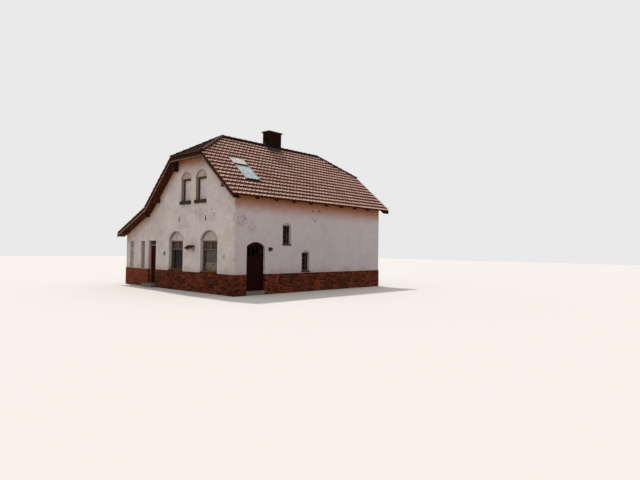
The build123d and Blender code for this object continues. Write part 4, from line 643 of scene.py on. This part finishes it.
curtain = piece("net_curtain", [shape_of("net_curtain", points, faces, net)], smooth=80)
rod_mesh = bpy.data.meshes.new("curtain_rod")
rod_shape = bmesh.new()
bmesh.ops.create_cone(rod_shape, cap_ends=True, segments=16, radius1=ROD_R, radius2=ROD_R,
                      depth=curtain_w)
for side in (-1, 1):
    bmesh.ops.create_uvsphere(rod_shape, u_segments=12, v_segments=8, radius=KNOB_R,
                              matrix=Matrix.Translation((0, 0, side * (curtain_w - 2 * KNOB_R) / 2)))
rod_shape.to_mesh(rod_mesh)
rod_shape.free()
rod_at = ((curtain_lo.x + curtain_hi.x) / 2, curtain_y + CURTAIN_BACK, head_z + 0.002)
rod_mesh.transform(Matrix.Translation(rod_at) @ Matrix.Rotation(math.pi / 2, 4, "Y"))
rod_mesh.materials.append(iron)
rod = piece("curtain_rod", [rod_mesh], smooth=40)
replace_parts(curtain, "window_curtain")
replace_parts(rod, "window_curtain")

# Doors. The front door is a panelled pine leaf in old dark red gloss, in a tan-painted frame with a glazed
# transom; the side door, of the same make, is painted nearly black as painted shade on the shaded side
# wall. Iron lever handle.
# The handle's height and its distance from the leaf's edge, and how deep the leaf stands in its frame.
HANDLE_Z = 1.24
BACKSET = 0.055
LEAF_IN = 0.045
for name, fresh, dull, leaf in (("dark_red_gloss", "3b0904", "290603", "door_leaf"),
                                ("sooty_red_gloss", "230504", "160303", "side_door")):
    # Gloss: clouds 100 mm wide where the sun has dulled it, brush marks 5 mm wide up the leaf.
    gloss, tree, shader, place, colour = clouded(
        name, 0.6, 0.03, 10.0, 6.0, fresh, dull, (0.35, 0.65))[:5]
    drawn = add(tree, "Mapping", {"Vector": place, "Scale": (200.0, 200.0, 6.0)})
    brushed = add(tree, "TexNoise", {"Vector": drawn, "Scale": 1.0, "Detail": 2.0})
    skin(tree, shader, colour, brushed, 0.2, 0.001)
    dress(gloss, leaf)

# Tan paint: flat, dirty in clouds 80 mm wide.
tan_paint = clouded("flat_tan_paint", 0.75, 0.3, 12.0, 6.0, "7c6d5d", "574839", (0.35, 0.65))[0]
dress(tan_paint, "door_frame")


def tube(points, radii, sides=12):
    """Round bar through points, with a radius at each."""
    made, faces = [], []
    for k, point in enumerate(points):
        before, after = points[max(k - 1, 0)], points[min(k + 1, len(points) - 1)]
        along = (Vector(after) - Vector(before)).normalized()
        first = along.cross(Vector((0, 0, 1)) if abs(along.z) < 0.9 else Vector((1, 0, 0))).normalized()
        second = along.cross(first)
        made += [Vector(point) + radii[k] * (first * math.cos(a) + second * math.sin(a))
                 for a in (2 * math.pi * s / sides for s in range(sides))]
    for k in range(len(points) - 1):
        for s in range(sides):
            a, b = k * sides + s, k * sides + (s + 1) % sides
            faces.append((a, b, b + sides, a + sides))
    faces.append(tuple(range(sides))[::-1])
    faces.append(tuple(range(len(made) - sides, len(made))))
    return made, faces


handle_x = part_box("door_leaf")[1].x - BACKSET
leaf_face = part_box("door_frame")[0].y + LEAF_IN
neck = [(handle_x, leaf_face - out, HANDLE_Z) for out in (0.0, 0.006, 0.007, 0.038)]
lever = [(handle_x + across, leaf_face - out, HANDLE_Z + up) for across, out, up in (
    (0.012, 0.038, 0.0), (-0.01, 0.040, 0.0), (-0.06, 0.040, -0.004), (-0.11, 0.036, 0.0))]
handle = [shape_of("handle", *tube(neck, (0.022, 0.022, 0.009, 0.009)), iron),
          shape_of("handle", *tube(lever, (0.009, 0.010, 0.008, 0.006)), iron)]
piece("front_door_handle", handle, "front_door", 50)

# Timber. Spruce rafters, purlins, boarding and soffits under a brown stain, darkened in clouds; the
# verge boards are painted dark red-brown over a tan strip, and the little wall hood is the same red.
# The hood's height at the wall's plane, its fall to the metre and the thickness of its slab.
HOOD_TOP = 2.212
HOOD_FALL = 0.667
HOOD_T = 0.0265
STAINED = ("rafters", "purlins", "boarding_right", "boarding_left", "boarding_half_hips", "verge_soffits")
for name, light, dark, pieces in (("brown_stained_spruce", "4c2213", "32140a", STAINED),
                                  ("red_brown_board_paint", "35160c", "240e08", ("verge_boards",)),
                                  ("weathered_tan_strip", "8d6e5c", "6c5042", ("verge_trims",))):
    # Grain 12 mm wide runs across a wide board's face at random; clouds 150 mm wide show the weather.
    material, tree, shader, place = coat(name, 0.85, 0.08)
    cloud = add(tree, "TexNoise", {"Vector": place, "Scale": 6.5, "Detail": 6.0})
    grain = add(tree, "TexNoise", {"Vector": place, "Scale": 80.0, "Detail": 3.0})
    cloud = add(tree, "Math", {0: grain, 1: 0.3, 2: cloud}, operation="MULTIPLY_ADD")
    cloud = add(tree, "MapRange", {0: cloud, 1: 0.5, 2: 0.8}, **SMOOTH)
    # The boards right of the ridge and under the half hips are painted darker: painted shade, for they lie
    # in deeper shade, and more dirt.
    along = add(tree, "SeparateXYZ", {"Vector": place}, "X")
    shade_and_dirt = add(tree, "MapRange", {0: along, 1: -0.6, 2: 0.2, 3: 0.0, 4: 0.45})
    skin(tree, shader, light, grain, layers=((cloud, dark), (shade_and_dirt, "20120d")))
    dress(material, *pieces)

# Hood: dark red slab on pale brackets, both chalky; clouds 60 mm wide.
hood, tree, shader, place = coat("chalky_hood_paint", 0.85, 0.1)
axes = add(tree, "SeparateXYZ", {"Vector": place}).node.outputs
cloud = add(tree, "TexNoise", {"Vector": place, "Scale": 16.0, "Detail": 5.0})
slab = add(tree, "Mix", {0: cloud, 6: "45201a", 7: "2f100b"}, **BLEND)
bracket = add(tree, "Mix", {0: cloud, 6: "a3938a", 7: "84746b"}, **BLEND)
under = add(tree, "Math", {0: axes["Y"], 1: HOOD_FALL, 2: HOOD_TOP - HOOD_T - WALL_FRONT * HOOD_FALL},
            operation="MULTIPLY_ADD")
below = add(tree, "Math", {0: axes["Z"], 1: under}, operation="LESS_THAN")
skin(tree, shader, slab, layers=((below, bracket),))
dress(hood, "wall_hood")

# Roof tiles. Clay pantiles, hung on battens in courses 0.30 m apart; each one overlaps its neighbour
# with its roll and the course below with its nose; a lower rib runs up the middle of each pan.
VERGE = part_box("roof_right")[1].y
TILE_GAUGE = 0.305
TILE_COVER = 0.230
TILE_LENGTH = 0.375
TILE_T = 0.016
TILE_RISE = 0.045
ROLL_H = 0.046
ROLL_AT = 0.83
RIB_H = 0.020
RIB_AT = 0.33
ROLL_HALF = 0.25
RIB_HALF = 0.16


def tile_shape(name, count, points, width, length, foot=0.0):
    """Tile for laying, from the points of its upper and then its lower face, count in each row. Its
    map gives the place across it from side to side, and up it from foot below its origin."""
    layer = len(points) // 2
    top = layer - count
    faces = []
    for a in range(0, top, count):
        for k in range(a, a + count - 1):
            faces.append((k, k + 1, k + count + 1, k + count))
            faces.append((layer + k, layer + k + count, layer + k + count + 1, layer + k + 1))
        b, last = a + count, a + count - 1
        faces.append((a, b, layer + b, layer + a))
        faces.append((last + count, last, layer + last, layer + last + count))
    for k in range(count - 1):
        faces.append((k + 1, k, layer + k, layer + k + 1))
        faces.append((top + k, top + k + 1, layer + top + k + 1, layer + top + k))
    mesh = shape_of(name, points, faces)
    tile_map = mesh.uv_layers.new(name="tile_map")
    for loop in mesh.loops:
        x, y, z = mesh.vertices[loop.vertex_index].co
        tile_map.data[loop.index].uv = (x / width + 0.5, (y + foot) / length)
    return bpy.data.objects.new(name, mesh)


def pantile(cover, gauge):
    """One pantile: x across, y up the slope from its nose, z outwards."""
    across = (0.0, 0.1, 0.2, 0.27, 0.33, 0.39, 0.46, 0.58, 0.68, 0.76, 0.83, 0.90, 0.98, 1.05)
    points = []
    for lift in (0.0, -TILE_T):
        for y in (0.0, TILE_LENGTH):
            for u in across:
                z = -ROLL_H + TILE_RISE * (0.5 - y / gauge) + lift
                for middle, half, height in ((ROLL_AT, ROLL_HALF, ROLL_H), (RIB_AT, RIB_HALF, RIB_H)):
                    if abs(u - middle) < half:
                        z += height * math.cos(math.pi * (u - middle) / (2 * half))
                if u < 0.1:
                    z += 0.010 * (1 - u / 0.1)
                points.append(((u - 0.5) * cover, y - gauge / 2, z))
    return tile_shape("pantile", len(across), points, cover, gauge, gauge / 2)


def fired_clay_tile(name, pale, middle, dark):
    """Pantile clay: dusty pale nose, with painted shade below the next course's nose, most of all on roll
    and rib; each tile has its tone, with lichen spots of 40 mm and stains 1 m wide."""
    material, tree, shader, place = coat(name, 0.9, 0.05)
    tone = add(tree, "Attribute", out="Fac", attribute_name="tone")
    sheet = add(tree, "UVMap", uv_map="tile_map")
    axes = add(tree, "SeparateXYZ", {"Vector": sheet}).node.outputs
    broad = add(tree, "TexNoise", {"Vector": place, "Scale": 1.0, "Detail": 4.0})
    spots = add(tree, "TexNoise", {"Vector": place, "Scale": 22.0, "Detail": 6.0, "Roughness": 0.7})
    wobble = add(tree, "MapRange", {0: spots, 1: 0.3, 2: 0.7, 3: -0.08, 4: 0.08})
    up = add(tree, "Math", {0: axes["Y"], 1: wobble})
    nose_shade = add(tree, "MapRange", {0: up, 1: 0.27, 2: 0.38}, **SMOOTH)
    half = add(tree, "Math", {0: axes["X"], 1: 0.17}, operation="ADD")
    half = add(tree, "Math", {0: half, 1: 0.25}, operation="PINGPONG")
    raised = add(tree, "MapRange", {0: half, 1: 0.08, 2: 0.22, 3: 1.0, 4: 0.0}, **SMOOTH)
    worn = add(tree, "Math", {0: raised, 1: 0.2}, operation="MULTIPLY")
    held = add(tree, "Math", {0: raised, 1: 0.25, 2: 0.75}, operation="MULTIPLY_ADD")
    nose_shade = add(tree, "Math", {0: nose_shade, 1: held}, operation="MULTIPLY")
    older = add(tree, "MapRange", {0: tone, 1: 0.6, 2: 1.0, 3: 0.0, 4: 0.25})
    stain = add(tree, "MapRange", {0: broad, 1: 0.5, 2: 0.72, 3: 0.0, 4: 0.35}, **SMOOTH)
    lichen = add(tree, "MapRange", {0: spots, 1: 0.55, 2: 0.7, 3: 0.0, 4: 0.5}, **SMOOTH)
    skin(tree, shader, pale, spots, 0.3, 0.003, layers=(
        (worn, middle), (older, middle), (nose_shade, dark), (stain, middle), (lichen, dark)))
    return material


clay = fired_clay_tile("dusty_clay_pantile", "d8af9f", "6c3528", "1c0703")
# The half hips take a darker copy of the clay: painted shade for the shaded faces of their noses, seen at a
# grazing angle.
shaded_clay = fired_clay_tile("shade_darkened_clay_pantile", "462a22", "2f1a14", "180a07")


def tile_slope(low, up, across, length, width, seed, finish, openings=()):
    """Pantiles on a slope whose lower edge has its middle at low. An opening is left out: its two
    sides across the slope and its two sides up it, from the middle of the lower edge."""
    rows, columns = round(length / TILE_GAUGE), round(width / TILE_COVER)
    gauge, cover = length / rows, width / columns
    mesh = lay(pantile(cover, gauge), columns, rows, (cover, gauge), (0, length / 2, 0),
               (1, 0, 0), (0, 1, 0), finish, seed, 0.002, 0.007)
    for x0, x1, y0, y1 in openings:
        take_out(mesh, (1, 0, 0), (0, 1, 0), (x0, y0), (x1, y1))
    across, up = Vector(across), Vector(up).normalized()
    mesh.transform(Matrix.Translation(low) @ turned(across, up))
    return mesh


slope_r, slope_l, slope_c = RIDGE - EAVE_R, RIDGE - KINK, KINK - EAVE_L
up_r, up_l, up_c = slope_r.normalized(), slope_l.normalized(), slope_c.normalized()
normal_r = Vector((0, 1, 0)).cross(up_r)
normal_l = Vector((0, -1, 0)).cross(up_l)
hips = {}
for end in (-1, 1):
    hip_up = Vector((0, -end * math.cos(HIP_PITCH), math.sin(HIP_PITCH)))
    hip_across = Vector((-end, 0, 0))
    hips[end] = (hip_up, hip_across, hip_across.cross(hip_up))


def hip_line(end, side):
    """Lower and upper end of the line between a half hip and a main slope."""
    drop = RIDGE.z - HIP_EAVE.z
    low_x = RIDGE.x + side * drop / (TAN_R if side > 0 else TAN_L)
    return (Vector((low_x, end * -HIP_EAVE.y, HIP_EAVE.z)),
            Vector((RIDGE.x, end * (-HIP_EAVE.y - drop / math.tan(HIP_PITCH)), RIDGE.z)))


def mitre(end, side):
    """Plane between a half hip and a main slope; its normal looks to the hip."""
    low, high = hip_line(end, side)
    facing = (high - low).cross((normal_r if side > 0 else normal_l) + hips[end][2]).normalized()
    return low, facing if facing.y * end > 0 else -facing


# Openings in the long slope: two roof windows and the chimney.
SKY_Y = (-4.29, -3.42)
SKY_DOWN = ((2.08, 2.68), (2.78, 3.90))
FLASH = 0.012
# How far the chimney's opening runs down past the stack, and up past the ridge.
STACK_ROOM = 0.03
PAST_RIDGE = 0.5
chimney_lo, chimney_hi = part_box("chimney")
stack_r = (chimney_hi.x - RIDGE.x) / abs(up_r.x) + STACK_ROOM
stack_l = (RIDGE.x - chimney_lo.x) / abs(up_l.x) + STACK_ROOM
openings_r = [(SKY_Y[0] - FLASH, SKY_Y[1] + FLASH, slope_r.length - b - FLASH, slope_r.length - a + FLASH)
              for a, b in SKY_DOWN]
openings_r.append((chimney_lo.y - FLASH, chimney_hi.y + FLASH,
                   slope_r.length - stack_r, slope_r.length + PAST_RIDGE))
openings_l = [(-chimney_hi.y - FLASH, -chimney_lo.y + FLASH,
               slope_l.length - stack_l, slope_l.length + PAST_RIDGE)]
tiles_right = tile_slope(EAVE_R, up_r, (0, 1, 0), slope_r.length, 2 * VERGE, 41, clay, openings_r)
tiles_steep = tile_slope(KINK, up_l, (0, -1, 0), slope_l.length, 2 * VERGE, 43, clay, openings_l)
tiles_cat = tile_slope(EAVE_L, up_c, (0, -1, 0), slope_c.length, 2 * VERGE, 45, clay)
for end in (-1, 1):
    trim(tiles_right, *mitre(end, 1))
    trim(tiles_steep, *mitre(end, -1))
trim(tiles_right, RIDGE, (-1, 0, 0))
trim(tiles_steep, RIDGE, (1, 0, 0))
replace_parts(piece("pantiles_right", [tiles_right], smooth=35), "roof_right")
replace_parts(piece("pantiles_left", [tiles_steep], smooth=35), "roof_left")
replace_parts(piece("pantiles_catslide", [tiles_cat], smooth=35), "roof_left")
hip_fields = []
for end in (-1, 1):
    hip_up, hip_across = hips[end][:2]
    low_l, low_r = hip_line(end, -1)[0], hip_line(end, 1)[0]
    middle = (low_l + low_r) / 2
    hip_length = (RIDGE.z - middle.z) / math.sin(HIP_PITCH)
    field = tile_slope(middle, hip_up, hip_across, hip_length, (low_r - low_l).length, 47 + end, shaded_clay)
    for side in (-1, 1):
        low, facing = mitre(end, side)
        trim(field, low, -facing)
    hip_fields.append(field)
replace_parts(piece("pantiles_half_hips", hip_fields, smooth=35), "roof_half_hips")

# Ridge and hips. Dark half-round clay tiles bedded in mortar, each one's wide end over the next
# one's narrow end; those on the hips are narrower than those on the ridge.
CAP_L = 0.40
CAP_STEP = 0.345
CAP_T = 0.014
COLLAR_L = 0.05
# How high the crowns stand above the lines of ridge and hips.
RIDGE_CAP_UP = 0.045
HIP_CAP_UP = 0.055

# Dark clay: nearly black-brown, with pale lichen spots 40 mm wide.
dark_clay, tree, shader, place = coat("dark_ridge_clay", 0.9, 0.15)
tone = add(tree, "Attribute", out="Fac", attribute_name="tone")
spots = add(tree, "TexNoise", {"Vector": place, "Scale": 22.0, "Detail": 6.0})
spots = add(tree, "MapRange", {0: spots, 1: 0.5, 2: 0.7, 3: 0.0, 4: 0.7}, **SMOOTH)
# The crown of each one is painted pale along a line 40 mm wide: a painted highlight.
sheet = add(tree, "UVMap", uv_map="tile_map")
around = add(tree, "SeparateXYZ", {"Vector": sheet}, "X")
around = add(tree, "Math", {0: around, 1: 0.5}, operation="SUBTRACT")
around = add(tree, "Math", {0: around}, operation="ABSOLUTE")
crown = add(tree, "MapRange", {0: around, 1: 0.16, 2: 0.04, 3: 0.0, 4: 0.6}, **SMOOTH)
skin(tree, shader, "3a2019", spots, 0.3, 0.003, layers=(
    (tone, "24120e"), (spots, "4d352c"), (crown, "85655a")))


def cap_tile(half_width, rise):
    """Half-round tile along y, from its wide end to its narrow end, with its crown at z = 0."""
    count = 11
    points = []
    for thick in (0.0, CAP_T):
        for y, wide, lift in ((0.0, half_width, 0.018), (COLLAR_L, half_width, 0.018),
                              (COLLAR_L, half_width - 0.008, 0.010), (CAP_L, half_width - 0.02, 0.0)):
            for k in range(count):
                a = math.pi * k / (count - 1)
                points.append((-(wide - thick) * math.cos(a), y - CAP_STEP / 2,
                               (rise - thick) * math.sin(a) - rise + lift))
    return tile_shape("cap_tile", count, points, 2 * half_width, CAP_L)


ridge_cap = cap_tile(0.135, 0.100)
hip_cap = cap_tile(0.105, 0.085)


def cap_run(unit, low, high, normal, height, seed):
    """Cap tiles from low to high, square to a normal, with their crowns at a height."""
    along = (high - low).normalized()
    count = max(1, round((high - low).length / CAP_STEP))
    across = along.cross(normal).normalized()
    centre = (low + high) / 2 + across.cross(along) * height
    return lay(unit, 1, count, (1.0, (high - low).length / count), centre, across, along, dark_clay, seed,
               0.003, 0.01)


apex = [hip_line(end, 1)[1] for end in (-1, 1)]
at_stack = [Vector((RIDGE.x, y, RIDGE.z)) for y in (chimney_lo.y, chimney_hi.y)]
upright = Vector((0, 0, 1))
front_run = cap_run(ridge_cap, apex[0], at_stack[0], upright, RIDGE_CAP_UP, 61)
rear_run = cap_run(ridge_cap, at_stack[1], apex[1], upright, RIDGE_CAP_UP, 63)
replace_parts(piece("ridge_caps", [front_run, rear_run], smooth=40), "ridge_tiles")
hip_runs = []
for end in (-1, 1):
    for side in (-1, 1):
        low, high = hip_line(end, side)
        square = (normal_r if side > 0 else normal_l) + hips[end][2]
        hip_runs.append(cap_run(hip_cap, low, high, square, HIP_CAP_UP, 65 + end + 2 * side))
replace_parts(piece("hip_caps", hip_runs, smooth=40), "hip_tiles")

# Chimney. A stack of dark, sooty bricks with a thin stone cap; bricks and mortar are painted darker still
# as painted shade on the faces away from the sun. Lead is dressed round its foot, painted nearly black as
# painted shade: an upstand on the bricks and an apron on the tiles of both slopes.
STACK_COURSES = 30
UPSTAND = 0.13
APRON = 0.16
# How far an apron runs past the stack at each side, and how high it lies on the tiles.
APRON_SIDE = 0.05
APRON_UP = 0.024
APRON_T = 0.003
LEAD_T = 0.004
LEAD_GAP = 0.002
stack_brick = fired_brick("shade_darkened_stack_brick", "1f0b07", "100604", "280f09", "140705")
stack_mortar = lime_mortar("shade_darkened_stack_mortar", "1d120e", "130b08")
dress(stack_mortar, "chimney")
stack_z0 = chimney_hi.z - STACK_COURSES * COURSE
wide, deep = chimney_hi.x - chimney_lo.x, chimney_hi.y - chimney_lo.y
stack = []
for start, across, length, seed, corner in (
        ((chimney_lo.x, chimney_lo.y - PROUD, 0), (1, 0, 0), wide, 71, 0.0),
        ((chimney_hi.x, chimney_hi.y + PROUD, 0), (-1, 0, 0), wide, 73, 0.0),
        ((chimney_hi.x + PROUD, chimney_lo.y, 0), (0, 1, 0), deep, 75, CORNER),
        ((chimney_lo.x - PROUD, chimney_hi.y, 0), (0, -1, 0), deep, 77, CORNER)):
    stack += brickwork(start, across, length, seed, corner, stack_z0, STACK_COURSES, stack_brick)
piece("chimney_bricks", stack)

# Lead: painted nearly black as painted shade at the stack's foot, with a paler bloom in clouds 60 mm wide
# and the dents of dressing.
lead, tree, shader, place, colour, bloom = clouded(
    "dull_sheet_lead", 0.6, 0.3, 16.0, 5.0, "1a1310", "271e1a", (0.4, 0.65))
skin(tree, shader, colour, bloom, 0.4, 0.004)


def plate(outline, out, thick, material=lead):
    """Sheet of an outline, thick along out; the outline runs anticlockwise seen from out."""
    out = Vector(out)
    count = len(outline)
    points = [Vector(p) for p in outline] + [Vector(p) + out * thick for p in outline]
    faces = [tuple(range(count))[::-1], tuple(range(count, 2 * count))]
    faces += [(k, (k + 1) % count, count + (k + 1) % count, count + k) for k in range(count)]
    return shape_of("plate", points, faces, material)


reach_x = (chimney_lo.x - PROUD - LEAD_GAP, chimney_hi.x + PROUD + LEAD_GAP)
reach_y = (chimney_lo.y - PROUD - LEAD_GAP, chimney_hi.y + PROUD + LEAD_GAP)
foot_l = RIDGE.z - TAN_L * (RIDGE.x - reach_x[0])
foot_r = RIDGE.z - TAN_R * (reach_x[1] - RIDGE.x)
foot = [(reach_x[0], foot_l), (RIDGE.x, RIDGE.z), (reach_x[1], foot_r)]
flashing = []
for y, out in ((reach_y[0], -1), (reach_y[1], 1)):
    outline = [(x, y, z) for x, z in foot] + [(x, y, z + UPSTAND) for x, z in foot[::-1]]
    flashing.append(plate(outline if out < 0 else outline[::-1], (0, out, 0), LEAD_T))
for x, z, out, low in ((reach_x[0], foot_l, -1, up_l), (reach_x[1], foot_r, 1, up_r)):
    outline = [(x, reach_y[side], z + up) for side, up in ((0, 0), (1, 0), (1, UPSTAND), (0, UPSTAND))]
    flashing.append(plate(outline if out > 0 else outline[::-1], (out, 0, 0), LEAD_T))
    square = normal_r if out > 0 else normal_l
    above = square * APRON_UP
    near = [Vector((x, y, z)) + above for y in (reach_y[0] - APRON_SIDE, reach_y[1] + APRON_SIDE)]
    outline = near[::-1] + [p - low * APRON for p in near]
    flashing.append(plate(outline if out < 0 else outline[::-1], square, APRON_T))
piece("chimney_flashing", flashing)

# Roof windows. Two fixed lights in the long slope: dark sheet-steel frames, pale along their sides, and
# ribbed glass, opaque and painted with the sky's reflection, the upper one whitish and the lower one
# grey-blue.
PANE_LIFT = 0.0245
PANE_T = 0.0014
PANE_INSET = 0.036

# Sheet steel: dark grey-brown paint with rust in spots 30 mm wide.
sheet_steel, tree, shader, place, colour = clouded(
    "rusting_painted_sheet", 0.6, 0.3, 30.0, 5.0, "2b2421", "3d271c", (0.5, 0.65))[:5]
# The side rails are pale.
along = add(tree, "SeparateXYZ", {"Vector": place}, "Y")
away = add(tree, "Math", {0: along, 1: (SKY_Y[0] + SKY_Y[1]) / 2}, operation="SUBTRACT")
away = add(tree, "Math", {0: away}, operation="ABSOLUTE")
pane_half = (SKY_Y[1] - SKY_Y[0]) / 2 - PANE_INSET
rail = add(tree, "Math", {0: away, 1: pane_half}, operation="GREATER_THAN")
rail = add(tree, "Math", {0: rail, 1: 0.8}, operation="MULTIPLY")
skin(tree, shader, colour, layers=((rail, "a3958f"),))
dress(sheet_steel, "roof_window_frames")
# Painted reflection: the panes' pale colours stand for the sky mirrored in them.
for name, (down0, down1), clean, dirty in (("upper_roof_pane", SKY_DOWN[0], "cabfb5", "a3978c"),
                                           ("lower_roof_pane", SKY_DOWN[1], "a3afb0", "8c9699")):
    # Ribbed glass: ribs 20 mm apart down the slope, dirt in clouds 150 mm wide.
    ribbed, tree, shader, place, colour = clouded(
        name + "_glass", 0.4, 0.4, 6.5, 5.0, clean, dirty, (0.35, 0.65))[:5]
    along = add(tree, "SeparateXYZ", {"Vector": place}, "Y")
    rib = add(tree, "Math", {0: along, 1: 0.01}, operation="PINGPONG")
    skin(tree, shader, colour, rib, 0.3, 0.05)
    low, high = down1 - PANE_INSET, down0 + PANE_INSET
    left, right = SKY_Y[0] + PANE_INSET, SKY_Y[1] - PANE_INSET
    corners = [RIDGE - up_r * s + Vector((0, y, 0)) + normal_r * PANE_LIFT
               for s, y in ((low, left), (low, right), (high, right), (high, left))]
    piece(name, [plate(corners, normal_r, PANE_T, ribbed)])

# Gutter. A half-round zinc gutter hangs on the low eave of the catslide.
# Zinc: dull grey patina in clouds 150 mm wide, half metal and half dirt.
zinc, tree, shader = clouded("weathered_zinc", 0.55, 0.4, 6.5, 5.0, "8b8683", "615b58")[:3]
shader["Metallic"].default_value = 0.5
dress(zinc, "gutter_left")

# Ground, light and camera. A plain pale floor and backdrop; a high sun behind the ridge, so that the
# walls are in even shade and the light grazes the long slope; the camera stands as for the photograph.
FLOOR_HALF = 90.0
corners = [(x * FLOOR_HALF, y * FLOOR_HALF, 0) for x, y in ((-1, -1), (1, -1), (1, 1), (-1, 1))]
floor = bpy.data.objects.new("floor", shape_of("floor", corners, [(0, 1, 2, 3)]))
bpy.context.scene.collection.objects.link(floor)
pale_floor, tree, shader, place = coat("pale_floor", 0.9, 0.2)
shader["Base Color"].default_value = linear("c4c0ba")
floor.data.materials.append(pale_floor)

world = bpy.context.scene.world or bpy.data.worlds.new("world")
bpy.context.scene.world = world
world.use_nodes = True
tree = world.node_tree
sky = tree.nodes["Background"].inputs
sky["Color"].default_value = linear("ffffff")
rays = add(tree, "LightPath").node.outputs
seen = add(tree, "Math", {0: rays["Is Camera Ray"], 1: rays["Is Glossy Ray"]}, operation="MAXIMUM")
seen = add(tree, "Math", {0: seen, 1: rays["Is Transmission Ray"]}, operation="MAXIMUM")
tree.links.new(add(tree, "MapRange", {0: seen, 3: 0.85, 4: 0.82}), sky["Strength"])

key = bpy.data.objects.new("key", bpy.data.lights.new("key", "SUN"))
key.data.energy = 3.0
key.data.angle = math.radians(2)
key.rotation_euler = Vector((-0.47, 0.12, 0.87)).to_track_quat("Z", "Y").to_euler()
bpy.context.scene.collection.objects.link(key)

CAMERA_AT = Vector((22.172, -18.286, 2.077))
FOCAL_PIXELS, PHOTO_PIXELS, SENSOR = 493.7, 640, 36.0
YAW, PITCH, ROLL = math.radians(132.95), math.radians(1.13), math.radians(0.80)
camera = bpy.data.objects.new("camera", bpy.data.cameras.new("camera"))
camera.data.sensor_width = SENSOR
camera.data.lens = FOCAL_PIXELS / PHOTO_PIXELS * SENSOR
camera.data.clip_end = 400.0
ahead = Vector((math.cos(YAW) * math.cos(PITCH), math.sin(YAW) * math.cos(PITCH), math.sin(PITCH)))
level = Vector((math.sin(YAW), -math.cos(YAW), 0.0))
right = level * math.cos(ROLL) + level.cross(ahead) * math.sin(ROLL)
camera.matrix_world = (Matrix.Translation(CAMERA_AT)
                       @ Matrix((right, right.cross(ahead), -ahead)).transposed().to_4x4())
bpy.context.scene.collection.objects.link(camera)
bpy.context.scene.camera = camera
bpy.context.scene.view_settings.view_transform = "Standard"
